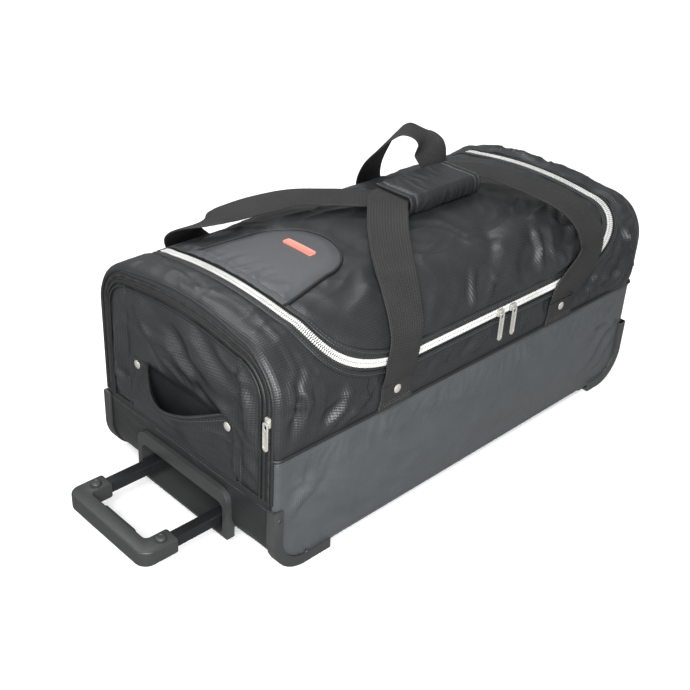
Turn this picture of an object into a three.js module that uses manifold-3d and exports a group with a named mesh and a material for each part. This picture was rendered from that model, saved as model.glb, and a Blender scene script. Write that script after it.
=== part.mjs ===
// Rolling duffel bag: soft body on a stiff base, zipped lid and end pocket,
// telescopic trolley handle, two corner wheels and two webbing carry handles.
//
// Millimetres, +Z up. X runs along the bag (trolley handle at -X, wheels at +X),
// Y across it (front at -Y). The origin is under the middle of the bag, on the
// plane that the runners, feet and wheels stand on.

import * as THREE from 'three';
import { mergeVertices } from 'three/addons/utils/BufferGeometryUtils.js';
import Module from 'manifold-3d';

const wasm = await Module();
wasm.setup();

// ------------------------------------------------------------ driving dimensions

const BODY = {
  halfLength: 330, halfWidth: 157, bottom: 4, shoulder: 280, crown: 288,
  baseRadius: 45, endRadius: 28, edgeRadius: 12, shoulderRadius: 60,
};
const FABRIC = 3;               // padded fabric wall
const GAP = 0.4;                // clearance between neighbouring solids
const BASE_SEAM = 12;           // top of the base tray's rim
const SIDE_SEAM = 157;          // seam between the lower and the upper panels
const END_SEAM = 98;            // seam under the end pocket

const LID = { left: -266, right: 279, bottom: 213, leftRun: 156, rightRun: 150, rise: 75, hingeY: 118 };
const ZIP_TAPE = 9;             // half width of the main zip, teeth to tape edge
const END_ZIP = { margin: 11, half: 4.5 };

const STRAP = { x: 154, width: 50, thick: 2.4, tabTop: 185.6, rivetZ: 178 };
const WRAP = { x0: 2, x1: 130, y0: -24, y1: 38, z0: 296, z1: 320.5, wall: 3 };

const RAIL = { y: 63, z: 32, innerW: 15, innerH: 14, outerW: 22, outerH: 21, wall: 1.4 };
const TROLLEY = { out: 86, gripLength: 150, gripDepth: 20, socket: 28 };
const BEZEL = { halfWidth: 85, top: 77, openHalf: 76.5, openTop: 59, bottom: 12.5, proud: 7, depth: 40 };

const WHEEL = { x: 296, y: 132, radius: 38, width: 24, arch: 42, axle: 3 };
const HOUSING = { x0: 250, top: 93, y0: 108, y1: 153.3, lipX: 263 };
const GUARD = { proud: 3, inset: 10, length: 83, top: 92 };

// ------------------------------------------------------------ solids and cutting

function solid(geometry) {
  const plain = geometry.index ? geometry.toNonIndexed() : geometry;
  for (const name of Object.keys(plain.attributes)) {
    if (name !== 'position') plain.deleteAttribute(name);
  }
  const merged = mergeVertices(plain, 1e-4);
  return new wasm.Manifold(new wasm.Mesh({
    numProp: 3,
    vertProperties: new Float32Array(merged.attributes.position.array),
    triVerts: new Uint32Array(merged.index.array),
  }));
}

function geometryOf(manifold) {
  const mesh = manifold.getMesh();
  const geometry = new THREE.BufferGeometry();
  geometry.setAttribute('position', new THREE.BufferAttribute(mesh.vertProperties, 3));
  geometry.setIndex(new THREE.BufferAttribute(mesh.triVerts, 1));
  return geometry;
}

function box(x0, x1, y0, y1, z0, z1) {
  const geometry = new THREE.BoxGeometry(x1 - x0, y1 - y0, z1 - z0);
  geometry.translate((x0 + x1) / 2, (y0 + y1) / 2, (z0 + z1) / 2);
  return solid(geometry);
}

function extruded(shape, depth, segments) {
  return new THREE.ExtrudeGeometry(shape, { depth, bevelEnabled: false, curveSegments: segments });
}

// A shape drawn in Y and Z, extruded along X.
function alongX(shape, x0, x1, segments = 5) {
  const turn = new THREE.Matrix4().makeBasis(
    new THREE.Vector3(0, 1, 0), new THREE.Vector3(0, 0, 1), new THREE.Vector3(1, 0, 0));
  const geometry = extruded(shape, x1 - x0, segments).applyMatrix4(turn);
  return solid(geometry.translate(x0, 0, 0));
}

// A shape drawn in X and Z, extruded along Y.
function alongY(shape, y0, y1, segments = 5) {
  const geometry = extruded(shape, y1 - y0, segments).rotateX(Math.PI / 2);
  return solid(geometry.translate(0, y1, 0));
}

// A shape drawn in X and Y, extruded along Z.
function alongZ(shape, z0, z1, segments = 5) {
  return solid(extruded(shape, z1 - z0, segments).translate(0, 0, z0));
}

function cylinderY(x, z, radius, y0, y1, sides = 24) {
  const geometry = new THREE.CylinderGeometry(radius, radius, y1 - y0, sides);
  return solid(geometry.translate(x, (y0 + y1) / 2, z));
}

function cylinderX(y, z, radius, x0, x1, sides = 12) {
  const geometry = new THREE.CylinderGeometry(radius, radius, x1 - x0, sides).rotateZ(Math.PI / 2);
  return solid(geometry.translate((x0 + x1) / 2, y, z));
}

function cylinderZ(x, y, radius, z0, z1, sides = 20) {
  const geometry = new THREE.CylinderGeometry(radius, radius, z1 - z0, sides).rotateX(Math.PI / 2);
  return solid(geometry.translate(x, y, (z0 + z1) / 2));
}

function roundedRect(x0, x1, y0, y1, r) {
  const shape = new THREE.Shape();
  shape.moveTo(x0 + r, y0);
  shape.lineTo(x1 - r, y0);
  shape.absarc(x1 - r, y0 + r, r, -Math.PI / 2, 0);
  shape.lineTo(x1, y1 - r);
  shape.absarc(x1 - r, y1 - r, r, 0, Math.PI / 2);
  shape.lineTo(x0 + r, y1);
  shape.absarc(x0 + r, y1 - r, r, Math.PI / 2, Math.PI);
  shape.lineTo(x0, y0 + r);
  shape.absarc(x0 + r, y0 + r, r, Math.PI, Math.PI * 1.5);
  return shape;
}

// A closed thick sheet: at(u, v, s) gives a point for u and v from 0 to 1,
// with s = 0 on one face and s = 1 on the other.
function sheet(at, nu, nv) {
  const positions = [];
  const index = [];
  const id = (i, j, s) => (s * (nu + 1) + i) * (nv + 1) + j;
  for (let s = 0; s < 2; s++) {
    for (let i = 0; i <= nu; i++) {
      for (let j = 0; j <= nv; j++) positions.push(...at(i / nu, j / nv, s));
    }
  }
  const quad = (a, b, c, d) => index.push(a, b, c, a, c, d);
  for (let i = 0; i < nu; i++) {
    for (let j = 0; j < nv; j++) {
      quad(id(i, j, 0), id(i + 1, j, 0), id(i + 1, j + 1, 0), id(i, j + 1, 0));
      quad(id(i, j, 1), id(i, j + 1, 1), id(i + 1, j + 1, 1), id(i + 1, j, 1));
    }
    quad(id(i, 0, 0), id(i, 0, 1), id(i + 1, 0, 1), id(i + 1, 0, 0));
    quad(id(i, nv, 0), id(i + 1, nv, 0), id(i + 1, nv, 1), id(i, nv, 1));
  }
  for (let j = 0; j < nv; j++) {
    quad(id(0, j, 0), id(0, j + 1, 0), id(0, j + 1, 1), id(0, j, 1));
    quad(id(nu, j, 0), id(nu, j, 1), id(nu, j + 1, 1), id(nu, j + 1, 0));
  }
  const geometry = new THREE.BufferGeometry();
  geometry.setAttribute('position', new THREE.Float32BufferAttribute(positions, 3));
  geometry.setIndex(index);
  return outward(geometry);
}

// Turns a closed mesh right side out when its signed volume is negative.
function outward(geometry) {
  const p = geometry.attributes.position;
  const index = geometry.index.array;
  const [a, b, c] = [new THREE.Vector3(), new THREE.Vector3(), new THREE.Vector3()];
  let volume = 0;
  for (let i = 0; i < index.length; i += 3) {
    a.fromBufferAttribute(p, index[i]);
    b.fromBufferAttribute(p, index[i + 1]);
    c.fromBufferAttribute(p, index[i + 2]);
    volume += a.dot(b.cross(c));
  }
  if (volume < 0) {
    for (let i = 0; i < index.length; i += 3) {
      [index[i + 1], index[i + 2]] = [index[i + 2], index[i + 1]];
    }
  }
  return geometry;
}

// Webbing laid along a route of [x, y, z, nx, ny, nz]: a point and the way its inner face looks.
function webbing(route, steps) {
  const path = new THREE.CatmullRomCurve3(route.map(([x, y, z]) => new THREE.Vector3(x, y, z)));
  const facing = new THREE.CatmullRomCurve3(route.map(([, , , x, y, z]) => new THREE.Vector3(x, y, z)));
  return sheet((u, v, s) => {
    const tangent = path.getTangent(u).normalize();
    const across = facing.getPoint(u).cross(tangent).normalize();
    const normal = tangent.clone().cross(across);
    const point = path.getPoint(u);
    point.addScaledVector(across, (v - 0.5) * STRAP.width);
    point.addScaledVector(normal, (s - 0.5) * STRAP.thick);
    return point.toArray();
  }, steps, 1);
}

// ------------------------------------------------------------ outlines of the body

// The bag seen from the front, grown by a distance.
function sideOutline(grow) {
  const x = BODY.halfLength + grow;
  const z0 = BODY.bottom - grow;
  const z1 = BODY.crown + grow;
  const base = BODY.baseRadius + grow;
  const end = BODY.endRadius + grow;
  const shape = new THREE.Shape();
  shape.moveTo(-x + base, z0);
  shape.lineTo(x - base, z0);
  shape.absarc(x - base, z0 + base, base, -Math.PI / 2, 0);
  shape.lineTo(x, z1 - end);
  shape.absarc(x - end, z1 - end, end, 0, Math.PI / 2);
  shape.lineTo(-x + end, z1);
  shape.absarc(-x + end, z1 - end, end, Math.PI / 2, Math.PI);
  shape.lineTo(-x, z0 + base);
  shape.absarc(-x + base, z0 + base, base, Math.PI, Math.PI * 1.5);
  return shape;
}

// The bag seen from the end, grown by a distance.
function crossOutline(grow) {
  const y = BODY.halfWidth + grow;
  const z0 = BODY.bottom - grow;
  const z1 = BODY.shoulder + grow;
  const edge = Math.max(BODY.edgeRadius + grow, 2);
  const shoulder = BODY.shoulderRadius + grow;
  const shape = new THREE.Shape();
  shape.moveTo(-y + edge, z0);
  shape.lineTo(y - edge, z0);
  shape.absarc(y - edge, z0 + edge, edge, -Math.PI / 2, 0);
  shape.lineTo(y, z1 - shoulder);
  shape.absarc(y - shoulder, z1 - shoulder, shoulder, 0, Math.PI / 2);
  shape.quadraticCurveTo(0, z1 + 2 * (BODY.crown - BODY.shoulder), -y + shoulder, z1);
  shape.absarc(-y + shoulder, z1 - shoulder, shoulder, Math.PI / 2, Math.PI);
  shape.lineTo(-y, z0 + edge);
  shape.absarc(-y + edge, z0 + edge, edge, Math.PI, Math.PI * 1.5);
  return shape;
}

// The whole body as one solid, grown by a distance.
function body(grow) {
  const x = BODY.halfLength + 10;
  const y = BODY.halfWidth + 10;
  return alongX(crossOutline(grow), -x, x).intersect(alongY(sideOutline(grow), -y, y));
}

function skin(outer, inner) {
  return body(outer).subtract(body(inner));
}

// The part of the body that the lid takes, seen from the front, grown by a distance.
function lidRegion(grow, hingeGap = 0) {
  const { left, right, bottom, leftRun, rightRun, rise, hingeY } = LID;
  const shape = new THREE.Shape();
  const top = bottom + rise;
  shape.moveTo(left + leftRun, bottom - grow);
  shape.lineTo(right - rightRun, bottom - grow);
  shape.absellipse(right - rightRun, top, rightRun + grow, rise + grow, -Math.PI / 2, 0);
  shape.lineTo(right + grow, BODY.crown + 40);
  shape.lineTo(left - grow, BODY.crown + 40);
  shape.lineTo(left - grow, top);
  shape.absellipse(left + leftRun, top, leftRun + grow, rise + grow, Math.PI, Math.PI * 1.5);
  return alongY(shape, -BODY.halfWidth - 20, hingeY - hingeGap, 7);
}

// The part of the handle end that the pocket flap takes, grown by a distance.
function endRegion(grow, z0 = END_SEAM) {
  const region = alongX(crossOutline(grow - END_ZIP.margin), -BODY.halfLength - 20, -BODY.halfLength + 20);
  return region.intersect(box(-400, 0, -200, 200, z0 + GAP, 400));
}

// ------------------------------------------------------------ the assembly

const group = new THREE.Group();

const finish = (color, roughness, metalness = 0) => new THREE.MeshStandardMaterial({ color, roughness, metalness });
const MATERIAL = {
  fabric: finish(0x2e3032, 0.75),
  panel: finish(0x565b60, 0.45),
  coated: finish(0x37393b, 0.5),
  pocket: finish(0x66696d, 0.5),
  label: finish(0xe88c80, 0.5),
  webbing: finish(0x424343, 0.8),
  plastic: finish(0x4b4c4c, 0.45),
  tray: finish(0x232425, 0.55),
  board: finish(0x2a2b2c, 0.8),
  tape: finish(0x303130, 0.8),
  metal: finish(0xd6d4cc, 0.3, 1),
  rail: finish(0x303133, 0.35, 0.8),
  steel: finish(0xa9abad, 0.35, 1),
  tyre: finish(0x1c1c1d, 0.85),
  hub: finish(0x2f3031, 0.5),
};

function add(name, shape, material) {
  const geometry = shape.isBufferGeometry ? shape : geometryOf(shape);
  const mesh = new THREE.Mesh(geometry, MATERIAL[material]);
  mesh.name = name;
  group.add(mesh);
}

// Adds one piece at the front and its mirror image at the rear.
function addPair(name, shape, material) {
  add(`${name}_front`, shape, material);
  add(`${name}_rear`, shape.mirror([0, 1, 0]), material);
}

// ------------------------------------------------------------ rivets and their holes

// A two-headed rivet along +Y, from its outer head at y = 0.
function rivet(length) {
  const head = 5.5;
  const shank = 2;
  const profile = [[0, 0], [head - 1.5, 0], [head, 1], [head, 1.6], [shank, 1.6], [shank, length - 1.2],
    [head - 0.5, length - 1.2], [head - 0.5, length], [0, length]];
  const geometry = new THREE.LatheGeometry(profile.map(([r, y]) => new THREE.Vector2(r, y)), 10);
  return solid(geometry);
}

const RIVET_HOLE = 2.5;
const strapHoles = [-STRAP.x, STRAP.x].map(
  (x) => cylinderY(x, STRAP.rivetZ, RIVET_HOLE, -BODY.halfWidth - 10, BODY.halfWidth + 10, 10));

// ------------------------------------------------------------ base and panels

const housingSpace = (y0, y1) => box(HOUSING.x0 - GAP, 400, y0 - GAP, y1 + GAP, -10, HOUSING.top + GAP);
const housingCut = housingSpace(HOUSING.y0, HOUSING.y1).add(housingSpace(-HOUSING.y1, -HOUSING.y0));

function baseTray() {
  let tray = skin(0, -FABRIC).intersect(box(-400, 400, -200, 200, 0, BASE_SEAM - GAP / 2));
  for (const y of [-90, 0, 90]) {
    tray = tray.add(alongZ(roundedRect(-210, 210, y - 12, y + 12, 10), 0, BODY.bottom + 1));
  }
  return tray.subtract(housingCut);
}

const endSpan = BODY.halfWidth - FABRIC + 0.2;    // the end wall stands between the side walls

function lowerShell() {
  return skin(0, -FABRIC)
    .intersect(box(-400, 400, -200, 200, BASE_SEAM + GAP / 2, SIDE_SEAM - GAP / 2))
    .subtract(box(-400, -BODY.halfLength + BODY.baseRadius, -endSpan, endSpan, 0, 300))
    .subtract(housingCut);
}

function bezelOutline(grow, bottom) {
  const { halfWidth, top } = BEZEL;
  const y = halfWidth + grow;
  const r = 16 + grow;
  const shape = new THREE.Shape();
  shape.moveTo(-y, bottom);
  shape.lineTo(y, bottom);
  shape.absarc(y - r, top + grow - r, r, 0, Math.PI / 2);
  shape.absarc(-y + r, top + grow - r, r, Math.PI / 2, Math.PI);
  return shape;
}

function endBasePanel() {
  const x1 = -BODY.halfLength + BODY.baseRadius;
  return skin(0, -FABRIC)
    .intersect(box(-400, x1, -endSpan + GAP, endSpan - GAP, BASE_SEAM + GAP / 2, END_SEAM - GAP / 2))
    .subtract(alongX(bezelOutline(GAP, 0), -400, x1 + 1));
}

function upperShell() {
  const above = box(-400, 400, -200, 200, SIDE_SEAM + GAP / 2, 400);
  const endWall = box(-400, -BODY.halfLength + 20, -endSpan + GAP, endSpan - GAP, END_SEAM + GAP / 2, SIDE_SEAM + 5);
  let shell = skin(0, -FABRIC).intersect(above.add(endWall))
    .subtract(lidRegion(ZIP_TAPE + GAP))
    .subtract(endRegion(END_ZIP.half + GAP, END_SEAM - 2 * GAP));
  for (const hole of strapHoles) shell = shell.subtract(hole);
  return shell;
}

const BOARD_TOP = 54;
add('base_tray', baseTray(), 'tray');
add('base_board', box(-283, 247, -152, 152, BOARD_TOP - 3, BOARD_TOP), 'board');
add('lower_shell', lowerShell(), 'panel');
add('end_base_panel', endBasePanel(), 'coated');
add('upper_shell', upperShell(), 'fabric');
add('end_pocket_wall', alongX(crossOutline(-FABRIC - 1.5), -283, -281)
  .intersect(box(-400, 0, -200, 200, BOARD_TOP + GAP, 400)), 'board');
addPair('foot', cylinderZ(-258, -118, 12, 0, BODY.bottom - GAP), 'tyre');

// ------------------------------------------------------------ lid, zip and top pocket

function pocketOutline() {
  const shape = new THREE.Shape();
  shape.moveTo(-255, -82);
  shape.lineTo(-180, -66);
  shape.absellipse(-180, 0, 58, 66, -Math.PI / 2, Math.PI / 2);
  shape.lineTo(-255, 82);
  return shape;
}

const tape = skin(-0.6, -2.4);
add('lid_panel', skin(0, -FABRIC).intersect(lidRegion(-ZIP_TAPE - GAP, GAP)), 'fabric');
add('zip_tape_lid', tape.intersect(lidRegion(-GAP, GAP)).subtract(lidRegion(-ZIP_TAPE)), 'tape');
add('zip_tape_body', tape.intersect(lidRegion(ZIP_TAPE, GAP)).subtract(lidRegion(GAP)), 'tape');
add('top_pocket', skin(3.2, GAP).intersect(alongZ(pocketOutline(), 200, 340)), 'pocket');
add('label', skin(4.6, 3.6).intersect(box(-170, -160, -27, 19, 200, 340)), 'label');

// A zip slider and its hanging pull, built at the origin with the zip along X.
const SLIDER = { length: 12, height: 9, thick: 3.2, standoff: 1.6, pull: 37, pullWidth: 8, pullThick: 1.6 };
const LINE = { left: 23, right: 47 };
const SLIDER_FACE = -BODY.halfWidth - SLIDER.standoff;

function sliderBody() {
  const half = SLIDER.length / 2;
  return roundedRect(-half, half, -SLIDER.height / 2, SLIDER.height / 2, 2.5);
}

function pullPlate() {
  return roundedRect(-SLIDER.pullWidth / 2, SLIDER.pullWidth / 2, -SLIDER.pull, 0.8, 0.7);
}

for (const [side, x] of Object.entries(LINE)) {
  const back = SLIDER_FACE - SLIDER.thick;
  add(`zip_slider_${side}`, alongY(sliderBody(), back, SLIDER_FACE, 3).translate([x, 0, LID.bottom]), 'metal');
  const plate = alongY(pullPlate(), back - 0.8 - SLIDER.pullThick, back - 0.8, 3);
  add(`zip_pull_${side}`, plate.translate([x, 0, LID.bottom]), 'metal');
}

// ------------------------------------------------------------ end pocket flap

const GRAB = { halfWidth: 96, bottom: 100, top: 176, dip: 34, reach: 38, flat: 0.76, thick: 2.5, rivetY: 82, rivetZ: 165 };
const END_FACE = -BODY.halfLength;

// How far the grab scoop stands off at a place across its width, from 0 to 1.
function scoopBulge(u) {
  return Math.max(0, 1 - (u / GRAB.flat) ** 2) ** 1.3;
}

function grabScoop() {
  const geometry = sheet((i, v, s) => {
    const u = 2 * i - 1;
    const bulge = scoopBulge(u);
    const top = GRAB.top - GRAB.dip * bulge;
    const x = END_FACE - GAP - GRAB.reach * bulge * v ** 1.2 - s * GRAB.thick;
    return [x, u * GRAB.halfWidth, GRAB.bottom + (top - GRAB.bottom) * v];
  }, 24, 3);
  return solid(geometry);
}

const endHoles = [-GRAB.rivetY, GRAB.rivetY].map(
  (y) => cylinderX(y, GRAB.rivetZ, RIVET_HOLE, END_FACE - 20, END_FACE + 10));

function withHoles(shape, holes) {
  return holes.reduce((whole, hole) => whole.subtract(hole), shape);
}

add('end_flap', withHoles(skin(0, -FABRIC).intersect(endRegion(-END_ZIP.half - GAP)), endHoles), 'fabric');
add('end_zip_tape', tape.intersect(endRegion(END_ZIP.half)).subtract(endRegion(-END_ZIP.half, 0)), 'tape');
add('end_grab_handle', withHoles(grabScoop(), endHoles), 'fabric');
const endRivetFace = END_FACE - GAP - GRAB.thick - 0.3 - 1.6;
addPair('end_rivet', rivet(9).rotate([0, 0, -90]).translate([endRivetFace, -GRAB.rivetY, GRAB.rivetZ]), 'metal');

const END_SLIDER = { y: -(BODY.halfWidth - END_ZIP.margin), z: 203 };

function endSlider() {
  const shape = roundedRect(-4.2, 4.2, -6, 6, 2.5);
  const x1 = END_FACE - 0.6;
  return alongX(shape, x1 - SLIDER.thick, x1, 3).translate([0, END_SLIDER.y, END_SLIDER.z]);
}

function endPull() {
  const shape = roundedRect(-3.9, 3.9, -34, 0.8, 0.7);
  const x1 = END_FACE - 0.6 - SLIDER.thick - 0.8;
  return alongX(shape, x1 - SLIDER.pullThick, x1, 3).translate([0, END_SLIDER.y, END_SLIDER.z]);
}

add('end_zip_slider', endSlider(), 'metal');
add('end_zip_pull', endPull(), 'metal');

// ------------------------------------------------------------ carry handles

const FRONT_ROUTE = [
  [-154, -158.9, 187.2, 0, 1, 0], [-153.6, -162.6, 202, 0, 1, 0], [-153, -163, 215, 0, 1, 0], [-149, -162.3, 235, 0, 1, 0],
  [-143, -156, 256, 0, 0.8, -0.5], [-133, -137, 279, 0, 0.6, -0.8], [-112, -105, 293, 0, 0.2, -1],
  [-80, -66, 301, 0, 0, -1], [-42, -25, 309, 0, 0, -1], [-4, 7, 314.4, 0, 0, -1],
  [30, 12, 315.2, 0, 0, -1], [70, 12, 315.2, 0, 0, -1], [108, 12, 315.2, 0, 0, -1],
  [138, 9, 315.6, 0, 0, -1], [160, -16, 315, 0, 0, -1], [169, -62, 312, 0, 0, -1],
  [176, -100, 308, 0, 0.2, -1], [184, -134, 298, 0, 0.4, -0.9], [193, -156, 277, 0, 0.8, -0.6],
  [195, -165, 254, 0, 1, -0.1], [184, -167, 233, 0, 1, 0], [167, -165.5, 215, 0, 1, 0],
  [154.6, -162, 201, 0, 1, 0], [154, -159, 188.4, 0, 1, 0],
];

const REAR_ROUTE = [
  [-154, 159, 188.4, 0, -1, 0], [-154.3, 162, 201, 0, -1, 0], [-162, 164, 218, 0, -1, 0],
  [-184, 165, 238, 0, -1, 0],
  [-206, 160, 260, 0, -0.9, -0.4], [-216, 142, 282, 0, -0.6, -0.8], [-202, 121, 295, 0, -0.2, -1],
  [-168, 111, 300, 0, 0, -1], [-127, 106, 302, 0, 0, -1], [-86, 92, 304, 0, 0, -1],
  [-48, 62, 306, 0, 0, -1], [-12, 28, 307, 0, 0, -1], [24, 12, 307, 0, 0, -1],
  [62, 12, 307, 0, 0, -1], [96, 15, 307, 0, 0, -1], [116, 29, 308, 0, 0.2, -1],
  [120, 46, 316, 0, 0.85, -0.5], [119, 55, 334, 0.24, 0.92, -0.29], [112, 66, 351, -0.38, 0.65, -0.62],
  [100, 82, 358, 0, 0, -1], [90, 101, 340, 0.35, -0.75, -0.55], [96, 128, 310, 0.15, -0.9, -0.4],
  [110, 154, 272, 0, -1, -0.1], [124, 164, 243, 0, -1, 0], [144, 165, 219, 0, -1, 0],
  [153.7, 162.5, 202, 0, -1, 0], [154, 159, 188.4, 0, -1, 0],
];

function strapTab(x) {
  const half = STRAP.width / 2;
  const shape = new THREE.Shape();
  shape.moveTo(-half - 3, SIDE_SEAM + 1);
  shape.lineTo(half + 3, SIDE_SEAM + 1);
  shape.lineTo(half, SIDE_SEAM + 14);
  shape.lineTo(half, STRAP.tabTop);
  shape.lineTo(-half, STRAP.tabTop);
  shape.lineTo(-half, SIDE_SEAM + 14);
  const y = -BODY.halfWidth - GAP;
  return alongY(shape, y - STRAP.thick, y).translate([x, 0, 0]);
}

function wrapSleeve() {
  const { x0, x1, y0, y1, z0, z1, wall } = WRAP;
  const outside = alongX(roundedRect(y0, y1 + 8, z0, z1, 6), x0, x1, 4);
  const inside = alongX(roundedRect(y0 + wall, y1 + 20, z0 + wall, z1 - wall, 3), x0 - 1, x1 + 1, 4);
  return outside.subtract(inside).intersect(box(x0, x1, y0 - 1, y1, z0 - 1, z1 + 1));
}

for (const [side, x] of [['left', -STRAP.x], ['right', STRAP.x]]) {
  addPair(`strap_tab_${side}`, withHoles(strapTab(x), strapHoles), 'webbing');
  const face = -BODY.halfWidth - GAP - STRAP.thick - 0.3 - 1.6;
  addPair(`strap_rivet_${side}`, rivet(10.5).translate([x, face, STRAP.rivetZ]), 'metal');
}
add('front_handle', webbing(FRONT_ROUTE, 44), 'webbing');
add('rear_handle', webbing(REAR_ROUTE, 48), 'webbing');
add('handle_wrap', wrapSleeve(), 'fabric');

// ------------------------------------------------------------ trolley handle

const BEZEL_FACE = END_FACE - BEZEL.proud;
const CUP_BACK = END_FACE + BEZEL.depth;
const GRIP_INNER = BEZEL_FACE - TROLLEY.out;
const GRIP_OUTER = GRIP_INNER - TROLLEY.gripDepth;
const RAIL_IN = 74;                                // inner end of the sliding tubes
const RAIL_OUT = GRIP_INNER + 3.4;                 // their end inside the grip sockets
const GRIP_BOTTOM = RAIL.z - 10;
const GRIP_TOP = RAIL.z + 10;

function rail(width, height, x0, x1, y = -RAIL.y) {
  return box(x0, x1, y - width / 2, y + width / 2, RAIL.z - height / 2, RAIL.z + height / 2);
}

function tube(width, height, wall, x0, x1) {
  return rail(width, height, x0, x1).subtract(rail(width - 2 * wall, height - 2 * wall, x0 - 1, x1 + 1));
}

function trolleyBezel() {
  const { openHalf, openTop, bottom } = BEZEL;
  const wall = 3;
  const open = roundedRect(-openHalf, openHalf, bottom + wall, openTop, 9);
  const cup = roundedRect(-openHalf - wall, openHalf + wall, bottom, openTop + wall, 12);
  let bezel = alongX(bezelOutline(0, bottom), BEZEL_FACE, END_FACE + 4)
    .add(alongX(cup, END_FACE, CUP_BACK + wall, 5))
    .subtract(alongX(open, BEZEL_FACE - 1, CUP_BACK, 5));
  for (const y of [-RAIL.y, RAIL.y]) {
    bezel = bezel.subtract(rail(RAIL.innerW + 0.8, RAIL.innerH + 0.8, CUP_BACK - 1, CUP_BACK + 5, y));
  }
  return bezel;
}

function tubeAnchor() {
  let anchor = box(222, 246, -84, 84, BODY.bottom + FABRIC + GAP, BOARD_TOP - 3 - GAP);
  for (const y of [-RAIL.y, RAIL.y]) {
    anchor = anchor.subtract(rail(RAIL.outerW + 0.8, RAIL.outerH + 0.8, 200, 236, y));
  }
  return anchor.subtract(box(200, 300, -45, 45, 15, 43));
}

const TRIGGER = { half: 30, z0: 26, z1: 38, x0: GRIP_INNER - 2.5, x1: GRIP_INNER + 3.5 };

function trolleyGrip() {
  const half = TROLLEY.gripLength / 2;
  const socketX = GRIP_INNER + TROLLEY.socket;
  const socketY = RAIL.y - 11;
  const shape = new THREE.Shape();
  shape.moveTo(GRIP_OUTER + 16, -half);
  shape.lineTo(socketX, -half);
  shape.lineTo(socketX, -socketY);
  shape.lineTo(GRIP_INNER, -socketY);
  shape.lineTo(GRIP_INNER, socketY);
  shape.lineTo(socketX, socketY);
  shape.lineTo(socketX, half);
  shape.absarc(GRIP_OUTER + 16, half - 16, 16, Math.PI / 2, Math.PI);
  shape.absarc(GRIP_OUTER + 16, -half + 16, 16, Math.PI, Math.PI * 1.5);
  let grip = alongZ(shape, GRIP_BOTTOM, GRIP_TOP, 5);
  for (const y of [-RAIL.y, RAIL.y]) {
    grip = grip.add(cylinderZ(GRIP_INNER + 12, y, 6.5, GRIP_TOP - 1, GRIP_TOP + 4, 12))
      .subtract(rail(RAIL.innerW + 0.8, RAIL.innerH + 0.8, GRIP_INNER + 3, socketX + 1, y))
      .subtract(cylinderX(y, RAIL.z, 3.4, GRIP_INNER - 3, GRIP_INNER + 5, 8));
  }
  return grip
    .subtract(box(GRIP_INNER - 7, GRIP_INNER + 1, -TRIGGER.half - 1, TRIGGER.half + 1, TRIGGER.z0 - 0.6, TRIGGER.z1 + 0.6))
    .subtract(box(GRIP_INNER - 7, GRIP_INNER - 0.8, -RAIL.y - 4.5, RAIL.y + 4.5, RAIL.z - 3, RAIL.z + 3));
}

function gripTrigger() {
  const { half, z0, z1, x0, x1 } = TRIGGER;
  const plate = alongX(roundedRect(-half, half, z0, z1, 4), x0, x1, 3);
  const crossbar = box(x0 - 0.6, x0 + 1.1, -RAIL.y - 3.6, RAIL.y + 3.6, RAIL.z - 2.2, RAIL.z + 2.2);
  return plate.add(crossbar);
}

add('trolley_bezel', trolleyBezel(), 'plastic');
addPair('outer_tube', tube(RAIL.outerW, RAIL.outerH, RAIL.wall, CUP_BACK + 3.8, 235), 'steel');
addPair('tube_collar', tube(RAIL.outerW - 2 * RAIL.wall - 0.7, RAIL.outerH - 2 * RAIL.wall - 0.7, 1.3,
  CUP_BACK + 3.8, CUP_BACK + 26), 'hub');
addPair('inner_tube', tube(RAIL.innerW, RAIL.innerH, RAIL.wall, RAIL_OUT, RAIL_IN), 'rail');
addPair('tube_glide', rail(RAIL.outerW - 2 * RAIL.wall - 0.8, RAIL.outerH - 2 * RAIL.wall - 0.8,
  RAIL_IN + GAP, RAIL_IN + 26), 'hub');
add('tube_anchor', tubeAnchor(), 'tray');
add('trolley_grip', trolleyGrip(), 'plastic');
add('grip_trigger', gripTrigger(), 'hub');
addPair('release_rod', cylinderX(-RAIL.y, RAIL.z, 2.5, TRIGGER.x0 + 1.4, RAIL_IN - 4, 8), 'steel');

// ------------------------------------------------------------ wheels and corners

// A band that follows the body's lower outline at one corner, seen from the front.
function cornerBand(outer, inner, y0, y1, x0, x1, top) {
  return alongY(sideOutline(outer), y0, y1)
    .subtract(alongY(sideOutline(inner), y0 - 1, y1 + 1))
    .intersect(box(x0, x1, y0 - 1, y1 + 1, -1, top));
}

function wheelHousing() {
  const { x0, top, y0, y1, lipX } = HOUSING;
  const { proud, inset } = GUARD;
  const side = -BODY.halfWidth - GAP;
  const front = side - proud + GAP;
  return body(0).intersect(box(x0, 400, -y1, -y0, 0, top))
    .add(cornerBand(proud, -1, -y1, -y0, lipX, 400, top))
    .add(cornerBand(proud, GAP, side - 1, -y1 + 1, lipX, 400, top))
    .add(cornerBand(proud, -inset, front, side, lipX, 400, top))
    .subtract(cylinderY(WHEEL.x, WHEEL.radius, WHEEL.arch, -WHEEL.y - 16, -WHEEL.y + 16, 24))
    .subtract(cylinderY(WHEEL.x, WHEEL.radius, WHEEL.axle + 0.4, -y1 + 1, -y0 + 1, 16));
}

function cornerGuard() {
  const { proud, inset, length, top } = GUARD;
  const side = -BODY.halfWidth - GAP;
  const x1 = -BODY.halfLength + length;
  return cornerBand(proud, -inset, side - proud + GAP, side, -400, x1, top)
    .add(cornerBand(proud, GAP, side - 1, side + inset, -400, x1, top));
}

// A ring about the wheel's axle, from a profile of radius and distance across.
function wheelRing(profile, sides) {
  const points = profile.map(([r, y]) => new THREE.Vector2(r, y));
  points.push(points[0].clone());
  return solid(new THREE.LatheGeometry(points, sides)).translate([WHEEL.x, -WHEEL.y, WHEEL.radius]);
}

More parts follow.
